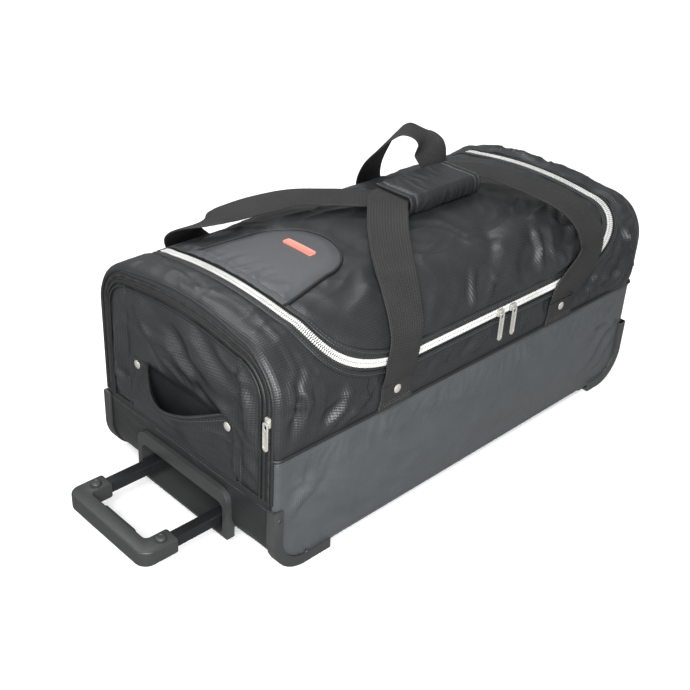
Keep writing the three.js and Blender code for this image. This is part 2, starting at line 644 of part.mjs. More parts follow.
const tyreHalf = WHEEL.width / 2;
const RIM = 27;
addPair('wheel_housing', wheelHousing(), 'plastic');
addPair('corner_guard', cornerGuard(), 'plastic');
addPair('tyre', wheelRing([[RIM, -tyreHalf + 1], [WHEEL.radius - 5, -tyreHalf], [WHEEL.radius, -tyreHalf + 6],
  [WHEEL.radius, tyreHalf - 6], [WHEEL.radius - 5, tyreHalf], [RIM, tyreHalf - 1]], 28), 'tyre');
addPair('wheel_hub', wheelRing([[WHEEL.axle + 0.4, -tyreHalf - 1], [8, -tyreHalf - 1], [9, -4], [RIM - 6, -4],
  [RIM - 4, -tyreHalf + 2], [RIM - GAP, -tyreHalf + 2], [RIM - GAP, tyreHalf - 2], [RIM - 4, tyreHalf - 2], [RIM - 6, 4],
  [9, 4], [8, tyreHalf + 1], [WHEEL.axle + 0.4, tyreHalf + 1]], 16), 'hub');
addPair('wheel_axle', cylinderY(WHEEL.x, WHEEL.radius, WHEEL.axle, -HOUSING.y1 + 1.5, -HOUSING.y0 - 0.5, 16), 'steel');

export default group;
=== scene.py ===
"""Rolling duffel bag: soft goods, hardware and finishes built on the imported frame."""

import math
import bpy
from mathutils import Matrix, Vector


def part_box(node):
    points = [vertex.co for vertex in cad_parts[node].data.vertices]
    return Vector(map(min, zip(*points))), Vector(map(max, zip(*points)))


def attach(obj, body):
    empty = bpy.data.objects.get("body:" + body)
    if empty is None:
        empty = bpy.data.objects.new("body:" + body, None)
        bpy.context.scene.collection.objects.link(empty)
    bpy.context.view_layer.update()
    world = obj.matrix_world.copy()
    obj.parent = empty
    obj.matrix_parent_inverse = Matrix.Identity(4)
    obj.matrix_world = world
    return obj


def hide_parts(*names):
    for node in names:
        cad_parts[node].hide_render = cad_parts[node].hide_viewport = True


bl_info = {
    "name": "Rolling Duffel Bag",
    "version": (1, 0, 0),
    "blender": (4, 5, 0),
    "location": "3D View > Sidebar > Duffel",
    "description": "Builds a rolling duffel bag with its zips, handles, trolley and wheels",
    "category": "Add Mesh",
}

import bmesh
import bpy
import numpy as np
from mathutils import Matrix, Vector, noise

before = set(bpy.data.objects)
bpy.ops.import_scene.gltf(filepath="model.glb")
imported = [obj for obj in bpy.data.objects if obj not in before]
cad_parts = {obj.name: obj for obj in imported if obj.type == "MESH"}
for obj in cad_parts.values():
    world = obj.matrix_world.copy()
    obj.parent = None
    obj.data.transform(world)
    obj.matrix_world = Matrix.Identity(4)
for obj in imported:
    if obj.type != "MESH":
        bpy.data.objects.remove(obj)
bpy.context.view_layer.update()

MM = 0.001

# ---------------------------------------------------------------- shape of the bag, millimetres

HALF_LENGTH = 330
HALF_WIDTH = 157
BOTTOM = 4
SHOULDER = 280
CROWN = 288
BASE_RADIUS = 45
END_RADIUS = 28
EDGE_RADIUS = 12
SHOULDER_RADIUS = 60
CORNER = 8
BASE_SEAM = 12
SIDE_SEAM = 157
END_SEAM = 98
LID_LEFT, LID_RIGHT, LID_BOTTOM = -266, 279, 213
LID_LEFT_RUN, LID_RIGHT_RUN, LID_RISE, LID_HINGE = 156, 150, 75, 118
ZIP_TAPE = 9
END_ZIP_MARGIN = 11
WHEEL_X, WHEEL_Y, WHEEL_RADIUS, WHEEL_HALF = 296, 132, 38, 12
RAIL_Y, RAIL_Z = 63, 32
BEZEL_FACE = -337
CUP_BACK = -290
GRIP_INNER, GRIP_OUTER = -423, -443
GRIP_HALF = 75
RIVET_Z = 178
TAB_X = 154
ENDS = (("front", -1), ("rear", 1))
TABS = (("left", -TAB_X), ("right", TAB_X))
GAP = 0.4
SKIN = 2.4
RIVET_STANDOFF = 0.3 + 1.6

FRONT_ROUTE = [
    (-154, -158.9, 187.2, 0, 1, 0), (-153.6, -162.6, 202, 0, 1, 0), (-153, -163, 215, 0, 1, 0),
    (-149, -162.3, 235, 0, 1, 0), (-143, -156, 256, 0, 0.8, -0.5), (-133, -137, 279, 0, 0.6, -0.8),
    (-112, -105, 293, 0, 0.2, -1), (-80, -66, 301, 0, 0, -1), (-42, -25, 309, 0, 0, -1),
    (-4, 7, 314.4, 0, 0, -1), (30, 12, 315.2, 0, 0, -1), (70, 12, 315.2, 0, 0, -1),
    (108, 12, 315.2, 0, 0, -1), (138, 9, 315.6, 0, 0, -1), (160, -16, 315, 0, 0, -1),
    (169, -62, 312, 0, 0, -1), (176, -100, 308, 0, 0.2, -1), (184, -134, 298, 0, 0.4, -0.9),
    (193, -156, 277, 0, 0.8, -0.6), (195, -165, 254, 0, 1, -0.1), (184, -167, 233, 0, 1, 0),
    (167, -165.5, 215, 0, 1, 0), (154.6, -162, 201, 0, 1, 0), (154, -159, 188.4, 0, 1, 0),
]

REAR_ROUTE = [
    (-154, 159, 188.4, 0, -1, 0), (-154.3, 162, 201, 0, -1, 0), (-162, 164, 218, 0, -1, 0),
    (-184, 165, 238, 0, -1, 0), (-206, 160, 260, 0, -0.9, -0.4), (-216, 142, 282, 0, -0.6, -0.8),
    (-202, 121, 295, 0, -0.2, -1), (-168, 111, 300, 0, 0, -1), (-127, 106, 302, 0, 0, -1),
    (-86, 92, 304, 0, 0, -1), (-48, 62, 306, 0, 0, -1), (-12, 28, 307, 0, 0, -1),
    (24, 12, 307, 0, 0, -1), (62, 12, 307, 0, 0, -1), (96, 15, 307, 0, 0, -1),
    (116, 29, 308, 0, 0.2, -1), (120, 46, 316, 0, 0.85, -0.5), (119, 55, 334, 0.24, 0.92, -0.29),
    (112, 66, 351, -0.38, 0.65, -0.62), (100, 82, 358, 0, 0, -1), (90, 101, 340, 0.35, -0.75, -0.55),
    (96, 128, 310, 0.15, -0.9, -0.4), (110, 154, 272, 0, -1, -0.1), (124, 164, 243, 0, -1, 0),
    (144, 165, 219, 0, -1, 0), (153.7, 162.5, 202, 0, -1, 0), (154, 159, 188.4, 0, -1, 0),
]


# ---------------------------------------------------------------- settings

def length_property(name, description, millimetres):
    return bpy.props.FloatProperty(
        name=name, description=description, default=millimetres * MM, unit="LENGTH")


class DuffelSizes(bpy.types.PropertyGroup):
    """Sizes that a maker would change."""

    strap_width: length_property("Strap width", "Width of the carry webbing", 50)
    strap_thickness: length_property("Strap thickness", "Thickness of the carry webbing", 2.2)
    front_bulge: length_property("Front bulge", "How far the lower panels fill out", 7)
    lid_bulge: length_property("Lid bulge", "How far the lid fills out", 7)
    end_bulge: length_property("End bulge", "How far the end flap fills out", 5)
    wrinkle: bpy.props.FloatProperty(
        name="Wrinkles", description="Strength of the fabric's folds", default=1.0, min=0, max=3)
    tooth_pitch: length_property("Tooth pitch", "Distance from one zip tooth to the next", 2.6)
    stitch_pitch: length_property("Stitch pitch", "Distance from one stitch to the next", 4)


def colour_property(name, description, default):
    return bpy.props.FloatVectorProperty(
        name=name, description=description, default=default, size=3, min=0, max=1, subtype="COLOR")


class DuffelColours(bpy.types.PropertyGroup):
    """Colours of the bag's finishes."""

    twill: colour_property("Twill", "Upper fabric", (0.0175, 0.0188, 0.0203))
    satin: colour_property("Satin", "Lower panels", (0.066, 0.074, 0.078))
    coated: colour_property("Coated", "Panel round the trolley", (0.017, 0.018, 0.0187))
    pocket: colour_property("Pocket", "Top pocket", (0.088, 0.094, 0.102))
    label: colour_property("Label", "Rubber label", (0.80, 0.27, 0.21))
    webbing: colour_property("Webbing", "Straps", (0.0265, 0.0268, 0.0262))
    plastic: colour_property("Plastic", "Trolley and guards", (0.034, 0.0352, 0.0352))
    teeth: colour_property("Teeth", "Main zip teeth", (0.56, 0.56, 0.535))
    floor: colour_property("Floor", "Studio floor", (0.92, 0.92, 0.92))


def sizes():
    return bpy.context.scene.duffel_sizes


def colours():
    return bpy.context.scene.duffel_colours


# ---------------------------------------------------------------- finishes

FINISHES = {}


class Value:
    """A shader socket whose arithmetic adds Math nodes."""

    def __init__(self, finish, socket):
        self.finish = finish
        self.socket = socket

    def maths(self, operation, *values):
        inputs = dict(enumerate(values))
        return self.finish.node("ShaderNodeMath", {"operation": operation}, inputs)

    def __add__(self, other):
        return self.maths("ADD", self, other)

    def __radd__(self, other):
        return self.maths("ADD", other, self)

    def __sub__(self, other):
        return self.maths("SUBTRACT", self, other)

    def __rsub__(self, other):
        return self.maths("SUBTRACT", other, self)

    def __mul__(self, other):
        return self.maths("MULTIPLY", self, other)

    def __rmul__(self, other):
        return self.maths("MULTIPLY", other, self)

    def sine(self):
        return self.maths("SINE", self)

    def clamped(self):
        return self.maths("MINIMUM", self.maths("MAXIMUM", self, 0.0), 1.0)


class Finish:
    """A procedural material."""

    def __init__(self, name):
        self.material = bpy.data.materials.new(name)
        self.material.use_nodes = True
        self.tree = self.material.node_tree
        self.tree.nodes.clear()

    def node(self, kind, settings=None, inputs=None, output=0):
        made = self.tree.nodes.new(kind)
        for key, value in (settings or {}).items():
            setattr(made, key, value)
        for key, value in (inputs or {}).items():
            if isinstance(value, Value):
                self.tree.links.new(value.socket, made.inputs[key])
            else:
                made.inputs[key].default_value = value
        return Value(self, made.outputs[output])

    def place(self):
        """Object coordinates, in metres."""
        return self.node("ShaderNodeTexCoord", output=3)

    def cloth(self):
        """The piece's own cloth map, in metres along and across."""
        return self.node("ShaderNodeUVMap", {"uv_map": "cloth"})

    def apart(self, vector):
        return [self.node("ShaderNodeSeparateXYZ", None, {0: vector}, output) for output in range(3)]

    def noise(self, vector, scale, detail=3.0, roughness=0.55):
        return self.node("ShaderNodeTexNoise", None, {
            "Vector": vector, "Scale": scale, "Detail": detail, "Roughness": roughness})

    def stretched(self, vector, scale):
        return self.node("ShaderNodeMapping", None, {"Vector": vector, "Scale": scale})

    def blend(self, factor, first, second):
        """A colour between two others."""
        return self.node("ShaderNodeMix", {"data_type": "RGBA"}, {0: factor, 6: first, 7: second}, 2)

    def surface(self, colour, roughness, height=None, depth=0.0, **constants):
        inputs = {"Base Color": colour, "Roughness": roughness}
        inputs.update({name.replace("_", " "): value for name, value in constants.items()})
        if height is not None:
            inputs["Normal"] = self.node("ShaderNodeBump", None, {
                "Strength": 1.0, "Distance": depth, "Height": height})
        shader = self.node("ShaderNodeBsdfPrincipled", None, inputs)
        out = self.tree.nodes.new("ShaderNodeOutputMaterial")
        self.tree.links.new(shader.socket, out.inputs["Surface"])
        return self.material


def shade(colour, factor):
    return tuple(min(1.0, c * factor) for c in colour) + (1.0,)


def woven(name, colour, roughness, cell, relief, glint=1.5, weave_depth=0.12, **constants):
    """Cloth with a diamond weave; sizes in millimetres, relief is the weave's share of colour. That share is
    painted light: the weave's cells run from painted shade to painted glints up to glint times the colour,
    while the cloud and grain are the cloth's own uneven tone.
    """
    made = Finish(name)
    along, across, _ = made.apart(made.cloth())
    turn = math.pi / (cell * MM)
    lattice = ((along + across) * turn).sine() * ((along - across) * turn).sine()
    thread = (along * (turn * 3.1)).sine() * (across * (turn * 3.1)).sine()
    cloud = made.noise(made.place(), 26.0, 4.0)
    grain = made.noise(made.place(), 420.0, 2.0)
    # painted glint and painted shade: the weave lattice lightens and darkens its cells between 0.55 and glint
    # times the colour; the cloud and grain are the cloth's own tone
    tone = (lattice * relief + cloud * 0.5 + grain * 0.35 + (0.5 - relief * 0.2 - 0.42)).clamped()
    base = made.blend(tone, shade(colour, 0.55), shade(colour, glint))
    rough = roughness + (cloud - 0.5) * 0.18 - lattice * 0.08
    height = lattice * 0.8 + thread * 0.25 + grain * 0.2
    return made.surface(base, rough, height, weave_depth * MM, **constants)


def ribbed(name, colour):
    """Webbing: fine ribs across the strap and a herringbone of threads."""
    made = Finish(name)
    along, across, _ = made.apart(made.cloth())
    rib = (along * (2 * math.pi / (2.0 * MM))).sine()
    columns = (across * (2 * math.pi / (3.4 * MM))).sine()
    slant = ((along + across * 0.7) * (2 * math.pi / (3.2 * MM)) + columns * 0.8).sine()
    cloud = made.noise(made.place(), 30.0, 3.0)
    grain = made.noise(made.place(), 600.0, 2.0)
    tone = (slant * 0.22 + rib * 0.16 + cloud * 0.6 + grain * 0.4 + 0.02).clamped()
    base = made.blend(tone, shade(colour, 0.6), shade(colour, 1.55))
    rough = 0.58 + (grain - 0.5) * 0.25
    height = rib * 0.45 + slant * 0.3 + columns * 0.3 + grain * 0.3
    return made.surface(base, rough, height, 0.34 * MM, Specular_IOR_Level=0.35)


def moulded(name, colour, roughness=0.42, grain_depth=0.06):
    """Satin moulded plastic with a fine spark-eroded grain and rubbed edges."""
    made = Finish(name)
    grain = made.noise(made.place(), 900.0, 3.0, 0.6)
    cloud = made.noise(made.place(), 22.0, 4.0)
    rub = made.node("ShaderNodeNewGeometry", output=7)
    edge = ((rub - 0.5) * 6.0).clamped() * cloud
    base = made.blend((cloud * 0.7 + grain * 0.3).clamped(), shade(colour, 0.8), shade(colour, 1.2))
    worn = made.blend(edge, base, shade(colour, 2.0))
    rough = roughness + (cloud - 0.5) * 0.2 + (grain - 0.5) * 0.15
    return made.surface(worn, rough, grain, grain_depth * MM)


def plated(name, colour, roughness, streak=(900.0, 60.0, 60.0), metal=1.0):
    """Brushed or plated metal with faint streaks and spots."""
    made = Finish(name)
    streaks = made.noise(made.stretched(made.place(), streak), 1.0, 3.0)
    spots = made.noise(made.place(), 160.0, 4.0)
    base = made.blend((streaks * 0.6 + spots * 0.4).clamped(), shade(colour, 0.82), shade(colour, 1.1))
    rough = roughness + (streaks - 0.5) * 0.16 + (spots - 0.5) * 0.12
    return made.surface(base, rough, streaks, 0.01 * MM, Metallic=metal)


def make_finishes():
    """All finishes by the name that the pieces use."""
    c = colours()
    FINISHES.update({
        "fabric": woven("Upper twill", c.twill, 0.40, 2.9, 0.34, 2.1, 0.13, Specular_IOR_Level=0.55),
        "panel": woven("Satin panel", c.satin, 0.33, 2.4, 0.26, 1.45, 0.12, Specular_IOR_Level=0.9),
        "coated": woven("Coated panel", c.coated, 0.44, 1.9, 0.14, 1.35, 0.08),
        "pocket": woven("Pocket satin", c.pocket, 0.38, 1.7, 0.16, 1.25, 0.08),
        "lining": woven("Lining", (0.03, 0.031, 0.033), 0.6, 3.6, 0.2, 1.5, 0.1),
        "piping": woven("Piping", (0.016, 0.0165, 0.017), 0.42, 1.2, 0.25, 1.6, 0.08),
        "tape": ribbed("Zip tape", (0.026, 0.026, 0.026)),
        "webbing": ribbed("Webbing", tuple(c.webbing)),
        "thread": moulded("Thread", (0.06, 0.06, 0.06), 0.6),
        "plastic": moulded("Moulded trim", c.plastic, 0.40),
        "tray": moulded("Base tray", (0.016, 0.017, 0.018), 0.5, 0.2),
        "board": moulded("Stiffener", (0.022, 0.023, 0.025), 0.7, 0.3),
        "hub": moulded("Hub", (0.028, 0.029, 0.031), 0.45),
        "tyre": moulded("Tyre rubber", (0.012, 0.012, 0.013), 0.8, 0.15),
        "teeth": moulded("Zip teeth", c.teeth, 0.28, 0.03),
        "label": moulded("Rubber label", c.label, 0.5, 0.05),
        "metal": plated("Satin nickel", (0.62, 0.61, 0.56), 0.36, metal=0.45),
        "steel": plated("Zinc plate", (0.42, 0.43, 0.44), 0.36, (60.0, 500.0, 500.0)),
        "rail": plated("Black rail", (0.030, 0.031, 0.034), 0.34, (40.0, 900.0, 900.0), 0.55),
        "floor": studio_paper(c.floor),
    })


def studio_paper(colour):
    made = Finish("Studio floor")
    cloud = made.noise(made.place(), 1.5, 2.0)
    base = made.blend(cloud, shade(colour, 0.995), shade(colour, 1.0))
    return made.surface(base, 0.75 + cloud * 0.05, Specular_IOR_Level=0.1,
                        Emission_Color=(1, 1, 1, 1), Emission_Strength=0.3)


# ---------------------------------------------------------------- the body's surface, millimetres

def corner_box(px, pz, half, z0, z1, low_radius, high_radius):
    """Distance from a rectangle whose low and high corners have their own radii."""
    middle = (z0 + z1) / 2
    radius = np.where(pz > middle, high_radius, low_radius)
    qx = np.abs(px) - half + radius
    qz = np.abs(pz - middle) - (z1 - z0) / 2 + radius
    return np.minimum(np.maximum(qx, qz), 0) + np.hypot(np.maximum(qx, 0), np.maximum(qz, 0)) - radius


def side_distance(p):
    """Distance inside the bag's outline seen from the front."""
    return corner_box(p[..., 0], p[..., 2], HALF_LENGTH, BOTTOM, CROWN + 8, BASE_RADIUS, END_RADIUS + 8)


def cross_distance(p):
    """Distance inside the bag's outline seen from the end."""
    y = p[..., 1]
    crown = (CROWN - SHOULDER) * np.clip(1 - (y / (HALF_WIDTH - SHOULDER_RADIUS)) ** 2, 0, 1)
    return corner_box(y, p[..., 2] - crown, HALF_WIDTH, BOTTOM, SHOULDER, EDGE_RADIUS, SHOULDER_RADIUS)


def body_distance(p):
    a = side_distance(p) + CORNER
    b = cross_distance(p) + CORNER
    return np.minimum(np.maximum(a, b), 0) + np.hypot(np.maximum(a, 0), np.maximum(b, 0)) - CORNER


def slope(distance, p, step=0.05):
    """Gradient of a distance at each point."""
    parts = []
    for axis in np.eye(3) * step:
        parts.append((distance(p + axis) - distance(p - axis)) / (2 * step))
    return np.stack(parts, -1)


def unit(v):
    return v / np.maximum(np.linalg.norm(v, axis=-1, keepdims=True), 1e-9)


def body_normal(p):
    return unit(slope(body_distance, p))


def onto_body(p, free=(1, 1, 1), offset=0.0):
    """Moves points to the body's surface along the free axes."""
    p = np.array(p, float)
    for _ in range(10):
        way = slope(body_distance, p) * np.array(free, float)
        size = np.maximum((way ** 2).sum(-1, keepdims=True), 0.05)
        p = p - way * ((body_distance(p) - offset)[..., None] / size)
    return p


def section_line():
    """The cross outline from the front base seam, over the top, to the rear base seam."""
    flat = HALF_WIDTH - SHOULDER_RADIUS
    low = SHOULDER - SHOULDER_RADIUS
    front = [(-HALF_WIDTH, z) for z in np.linspace(BASE_SEAM, low, 90)]
    front += [(-flat - SHOULDER_RADIUS * math.cos(a), low + SHOULDER_RADIUS * math.sin(a))
              for a in np.linspace(0.02, math.pi / 2, 40)]
    crown = [(y, SHOULDER + (CROWN - SHOULDER) * (1 - (y / flat) ** 2))
             for y in np.linspace(-flat + 2, 0, 40)]
    half = front + crown
    return np.array(half + [(-y, z) for y, z in reversed(half[:-1])])


SECTION = section_line()
SECTION_T = np.concatenate([[0], np.cumsum(np.linalg.norm(np.diff(SECTION, axis=0), axis=1))])
FULL_T = SECTION_T[-1]


def section(t):
    """Y and Z at a distance round the cross outline."""
    return np.interp(t, SECTION_T, SECTION[:, 0]), np.interp(t, SECTION_T, SECTION[:, 1])


def wrapped(s, t):
    """Places on the skin: s along the bag and round its end corners, t round the section."""
    straight = HALF_LENGTH - CORNER
    angle = np.clip((np.abs(s) - straight) / CORNER, 0, math.pi / 2)
    beyond = np.maximum(np.abs(s) - straight - CORNER * math.pi / 2, 0)
    inset = CORNER * (1 - np.cos(angle)) + beyond
    x = np.sign(s) * (np.minimum(np.abs(s), straight) + CORNER * np.sin(angle))
    y, z = section(t)
    p = np.stack([x, y, z], -1)
    inward = -unit(slope(cross_distance, p))
    return onto_body(p + inward * inset[..., None])


def lid_distance(p):
    """Distance outside the lid's zip line, negative on the lid."""
    x, z = p[..., 0], p[..., 2]
    high = LID_BOTTOM + LID_RISE
    left, right = LID_LEFT + LID_LEFT_RUN, LID_RIGHT - LID_RIGHT_RUN
    run = np.where(x < 0, LID_LEFT_RUN, LID_RIGHT_RUN)
    across = np.where(x < 0, left - x, x - right)
    drop = np.maximum(high - z, 0)
    side = np.maximum(across, 0)
    k = np.sqrt((side / run) ** 2 + (drop / LID_RISE) ** 2)
    steep = np.sqrt((side / run ** 2) ** 2 + (drop / LID_RISE ** 2) ** 2)
    curve = k * (k - 1) / np.maximum(steep, 1e-6)
    inside = np.where(across > 0, curve, drop - LID_RISE)
    inside = np.where(z > high, np.where(across > 0, across - run, -50.0), inside)
    return inside


def lid_region(p, grow):
    """Distance outside the lid, grown by a distance everywhere but at its rear hinge."""
    return np.maximum(lid_distance(p) - grow, p[..., 1] - LID_HINGE)


def zip_line():
    """The main zip from the rear left, round the front, to the rear right."""
    def leg(edge, run, sign):
        angles = np.linspace(0, 1.42, 60)
        x = (edge - sign * run) + sign * run * np.sin(angles)
        z = LID_BOTTOM + LID_RISE * (1 - np.cos(angles))
        flat = HALF_WIDTH - SHOULDER_RADIUS
        rise = np.clip((z - SHOULDER + SHOULDER_RADIUS) / SHOULDER_RADIUS, 0, 0.9999)
        y = -flat - SHOULDER_RADIUS * np.sqrt(1 - rise ** 2)
        front = np.stack([x, y, z], -1)[z < SHOULDER - 1.5]
        ys = np.linspace(front[-1, 1] + 4, LID_HINGE, 70)
        over = np.interp(ys, SECTION[:, 0], np.arange(len(SECTION)))
        top = np.stack([np.full(70, edge), ys, np.interp(over, np.arange(len(SECTION)), SECTION[:, 1])], -1)
        settle = np.exp(-np.arange(70) / 6.0)
        top[:, 0] += (front[-1, 0] - edge) * settle
        return np.concatenate([front, top])

    left = leg(LID_LEFT, LID_LEFT_RUN, -1)[::-1]
    right = leg(LID_RIGHT, LID_RIGHT_RUN, 1)
    return onto_body(np.concatenate([left, right]))


def paced(points, pitch):
    """The same line with points at an even pitch."""
    points = np.asarray(points, float)
    steps = np.linalg.norm(np.diff(points, axis=0), axis=1)
    along = np.concatenate([[0], np.cumsum(steps)])
    count = max(int(round(along[-1] / pitch)), 2)
    at = np.linspace(0, along[-1], count + 1)
    return np.stack([np.interp(at, along, points[:, k]) for k in range(3)], -1)


def tangents(path):
    return unit(np.gradient(path, axis=0))


def catmull(route, count):
    """A centripetal curve through the route's points, at count + 1 even parameters."""
    points = np.array(route, float)
    padded = np.concatenate([[2 * points[0] - points[1]], points, [2 * points[-1] - points[-2]]])
    out = []
    for at in np.linspace(0, len(points) - 1, count + 1):
        i = min(int(at), len(points) - 2)
        w = at - i
        p0, p1, p2, p3 = padded[i:i + 4]
        d0, d1, d2 = (max(np.linalg.norm(b - a) ** 0.5, 1e-4) for a, b in ((p0, p1), (p1, p2), (p2, p3)))
        t1 = ((p1 - p0) / d0 - (p2 - p0) / (d0 + d1) + (p2 - p1) / d1) * d1
        t2 = ((p2 - p1) / d1 - (p3 - p1) / (d1 + d2) + (p3 - p2) / d2) * d1
        out.append(p1 + t1 * w + (3 * (p2 - p1) - 2 * t1 - t2) * w ** 2
                   + (2 * (p1 - p2) + t1 + t2) * w ** 3)
    return np.array(out)


# ---------------------------------------------------------------- relief of the cloth

def hum(points, size, seed=0.0):
    """Smooth noise from -1 to 1 with features of a size in millimetres."""
    flat = points.reshape(-1, points.shape[-1]) / size
    if flat.shape[1] == 2:
        flat = np.concatenate([flat, np.zeros((len(flat), 1))], 1)
    values = [noise.noise((a + seed, b - seed, c + 2 * seed)) for a, b, c in flat]
    return np.array(values).reshape(points.shape[:-1]) * 1.6


def swayed(uv, reach, size, seed):
    """The same places pushed about by slow noise, so that folds aren't straight."""
    shift = np.stack([hum(uv, size, seed), hum(uv, size, seed + 31.7)], -1)
    return uv + shift * reach


def folds(uv, lines, reach=5.0, seed=3.1):
    """Height of creases (u0, v0, u1, v1, width, height): a ridge with a trough on each side."""
    place = swayed(uv, reach, 38.0, seed)
    height = np.zeros(uv.shape[:-1])
    for u0, v0, u1, v1, width, tall in lines:
        start = np.array([u0, v0], float)
        way = np.array([u1 - u0, v1 - v0], float)
        along = ((place - start) @ way) / (way @ way)
        near = start + np.clip(along, 0, 1)[..., None] * way
        off = np.linalg.norm(place - near, axis=-1) / width
        taper = np.clip(np.sin(np.pi * np.clip(along, 0.0, 1.0)), 0, 1) ** 0.6
        ridge = np.exp(-off ** 2) - 0.42 * np.exp(-((off - 1.7) / 0.9) ** 2)
        height += tall * taper * ridge
    return height


def ripples(uv, angle, length, width, tall, seed):
    """Long soft ridges that run at an angle."""
    place = swayed(uv, width * 0.6, length * 0.5, seed)
    c, s = math.cos(math.radians(angle)), math.sin(math.radians(angle))
    turned = np.stack([(place[..., 0] * c + place[..., 1] * s) / length,
                       (-place[..., 0] * s + place[..., 1] * c) / width], -1)
    value = hum(turned, 1.0, seed + 5.0)
    return tall * (np.clip(1 - np.abs(value), 0, 1) ** 2.2 - 0.45)


def soft_step(value, low, high):
    k = np.clip((value - low) / (high - low), 0, 1)
    return k * k * (3 - 2 * k)


# ---------------------------------------------------------------- meshes for the soft goods

def new_mesh(name, points, faces, cloth=None):
    """A mesh from points in millimetres, with the cloth map in metres."""
    mesh = bpy.data.meshes.new(name)
    mesh.from_pydata((np.asarray(points) * MM).tolist(), [], faces)
    mesh.validate()
    if cloth is not None:
        layer = mesh.uv_layers.new(name="cloth")
        loops = np.zeros(len(mesh.loops), np.int32)
        mesh.loops.foreach_get("vertex_index", loops)
        layer.data.foreach_set("uv", (np.asarray(cloth)[loops] * MM).astype(np.float32).ravel())
    piece = bpy.data.objects.new(name, mesh)
    bpy.context.collection.objects.link(piece)
    return piece


def grid_faces(n, m):
    i, j = np.meshgrid(np.arange(n - 1), np.arange(m - 1), indexing="ij")
    a = (i * m + j).ravel()
    return np.stack([a, a + m, a + m + 1, a + 1], -1)


def panel(name, points, cloth, keep, thickness=1.6, finish="fabric", cell=3.0):
    """A cloth panel over a grid of points, trimmed where keep is positive, with a lined wall."""
    n, m = points.shape[:2]
    flat = points.reshape(-1, 3).copy()
    uv = np.asarray(cloth, float).reshape(-1, 2)
    faces = grid_faces(n, m)
    side = keep(flat)
    edges = np.concatenate([faces[:, [0, 1]], faces[:, [1, 2]], faces[:, [2, 3]], faces[:, [3, 0]]])
    crossing = edges[(side[edges[:, 0]] > 0) != (side[edges[:, 1]] > 0)]
    first, second = crossing[:, 0], crossing[:, 1]
    nearer = np.where(np.abs(side[first]) < np.abs(side[second]), first, second)
    snapped = np.unique(nearer)
    place = flat[snapped]
    for _ in range(4):
        way = slope(keep, place)
        size = np.maximum((way ** 2).sum(-1), 0.2)
        step = way * (keep(place) / size)[:, None]
        length = np.linalg.norm(step, axis=1, keepdims=True)
        place = place - step * np.minimum(1, cell * 0.9 / np.maximum(length, 1e-6))
    flat[snapped] = place
    side[snapped] = 0
    good = side <= 0
    inside = good[faces]
    quads = faces[inside.all(1)].tolist()
    three = faces[inside.sum(1) == 3]
    corners = [[v for v in face if good[v]] for face in three.tolist()]
    faces = quads + corners
    used = np.unique(np.concatenate([np.array(f) for f in faces]))
    index = np.full(len(flat), -1)
    index[used] = np.arange(len(used))
    faces = [[int(index[v]) for v in face] for face in faces]
    piece = new_mesh(name, flat[used], faces, uv[used])
    face_outwards(piece)
    piece.data.materials.append(FINISHES[finish])
    piece.data.materials.append(FINISHES["lining"])
    wall = piece.modifiers.new("Wall", "SOLIDIFY")
    wall.thickness = thickness * MM
    wall.offset = -1
    wall.material_offset = 1
    wall.material_offset_rim = 0
    apply_modifiers(piece)
    smooth(piece)
    return piece


def face_outwards(piece):
    """Turns an open panel so that its faces look away from the middle of the bag."""
    mesh = piece.data
    total = 0.0
    for face in mesh.polygons:
        total += face.normal.dot(face.center - Vector((face.center.x * 0.6, 0, 0.13)))
    if total < 0:
        mesh.flip_normals()


def sweep(name, path, side, up, profile, finish, lift=None):
    """A profile of (across, up) points, or one for each place, carried along a path in millimetres."""
    path = np.asarray(path, float)
    profile = np.asarray(profile, float)
    if profile.ndim == 2:
        profile = np.repeat(profile[None], len(path), 0)
    count, ring = profile.shape[:2]
    a, b = profile[..., 0], profile[..., 1]
    length = np.concatenate([[0], np.cumsum(np.linalg.norm(np.diff(path, axis=0), axis=1))])
    if lift is not None:
        b = b + lift(length[:, None], a)
    points = path[:, None] + a[..., None] * side[:, None] + b[..., None] * up[:, None]
    edge = np.linalg.norm(np.roll(profile, -1, 1) - profile, axis=-1)
    girth = np.concatenate([np.zeros((count, 1)), np.cumsum(edge, 1)], 1)
    cloth = np.stack([np.repeat(length[:, None], ring + 1, 1), girth], -1)
    faces = []
    for i in range(count - 1):
        j = i + 1
        for k in range(ring):
            q = (k + 1) % ring
            faces.append([i * ring + k, i * ring + q, j * ring + q, j * ring + k])
    faces.append(list(range(ring))[::-1])
    faces.append([(count - 1) * ring + k for k in range(ring)])
    piece = new_mesh(name, points.reshape(-1, 3), faces)
    layer = piece.data.uv_layers.new(name="cloth")
    for face in piece.data.polygons:
        wraps = max(v % ring for v in face.vertices) - min(v % ring for v in face.vertices) > 1
        for loop, vertex in zip(face.loop_indices, face.vertices):
            i, k = divmod(vertex, ring)
            k = ring if wraps and k == 0 and ring > 2 else k
            layer.data[loop].uv = (cloth[i, k] * MM).tolist()
    recalculate(piece)
    piece.data.materials.append(FINISHES[finish])
    smooth(piece)
    return piece


def round_profile(radius, sides=10):
    turn = np.linspace(0, 2 * math.pi, sides, endpoint=False)
    return np.stack([radius * np.cos(turn), radius * np.sin(turn)], -1)


def band_profile(width, thick, across=12, edge=0.9):
    """A flat band with rounded edges, as a ring of points."""
    half = width / 2
    top = [(a, thick / 2) for a in np.linspace(half - edge, -half + edge, across)]
    left = [(-half + 0.25 * edge, thick * 0.35), (-half, 0.0), (-half + 0.25 * edge, -thick * 0.35)]
    low = [(a, -thick / 2) for a in np.linspace(-half + edge, half - edge, across)]
    right = [(half - 0.25 * edge, -thick * 0.35), (half, 0.0), (half - 0.25 * edge, thick * 0.35)]
    return np.array(top + left + low + right)


def skin_frames(path):
    """Side and outward directions of a line that lies on the body."""
    up = body_normal(path)
    way = tangents(path)
    side = unit(np.cross(up, way))
    return side, up


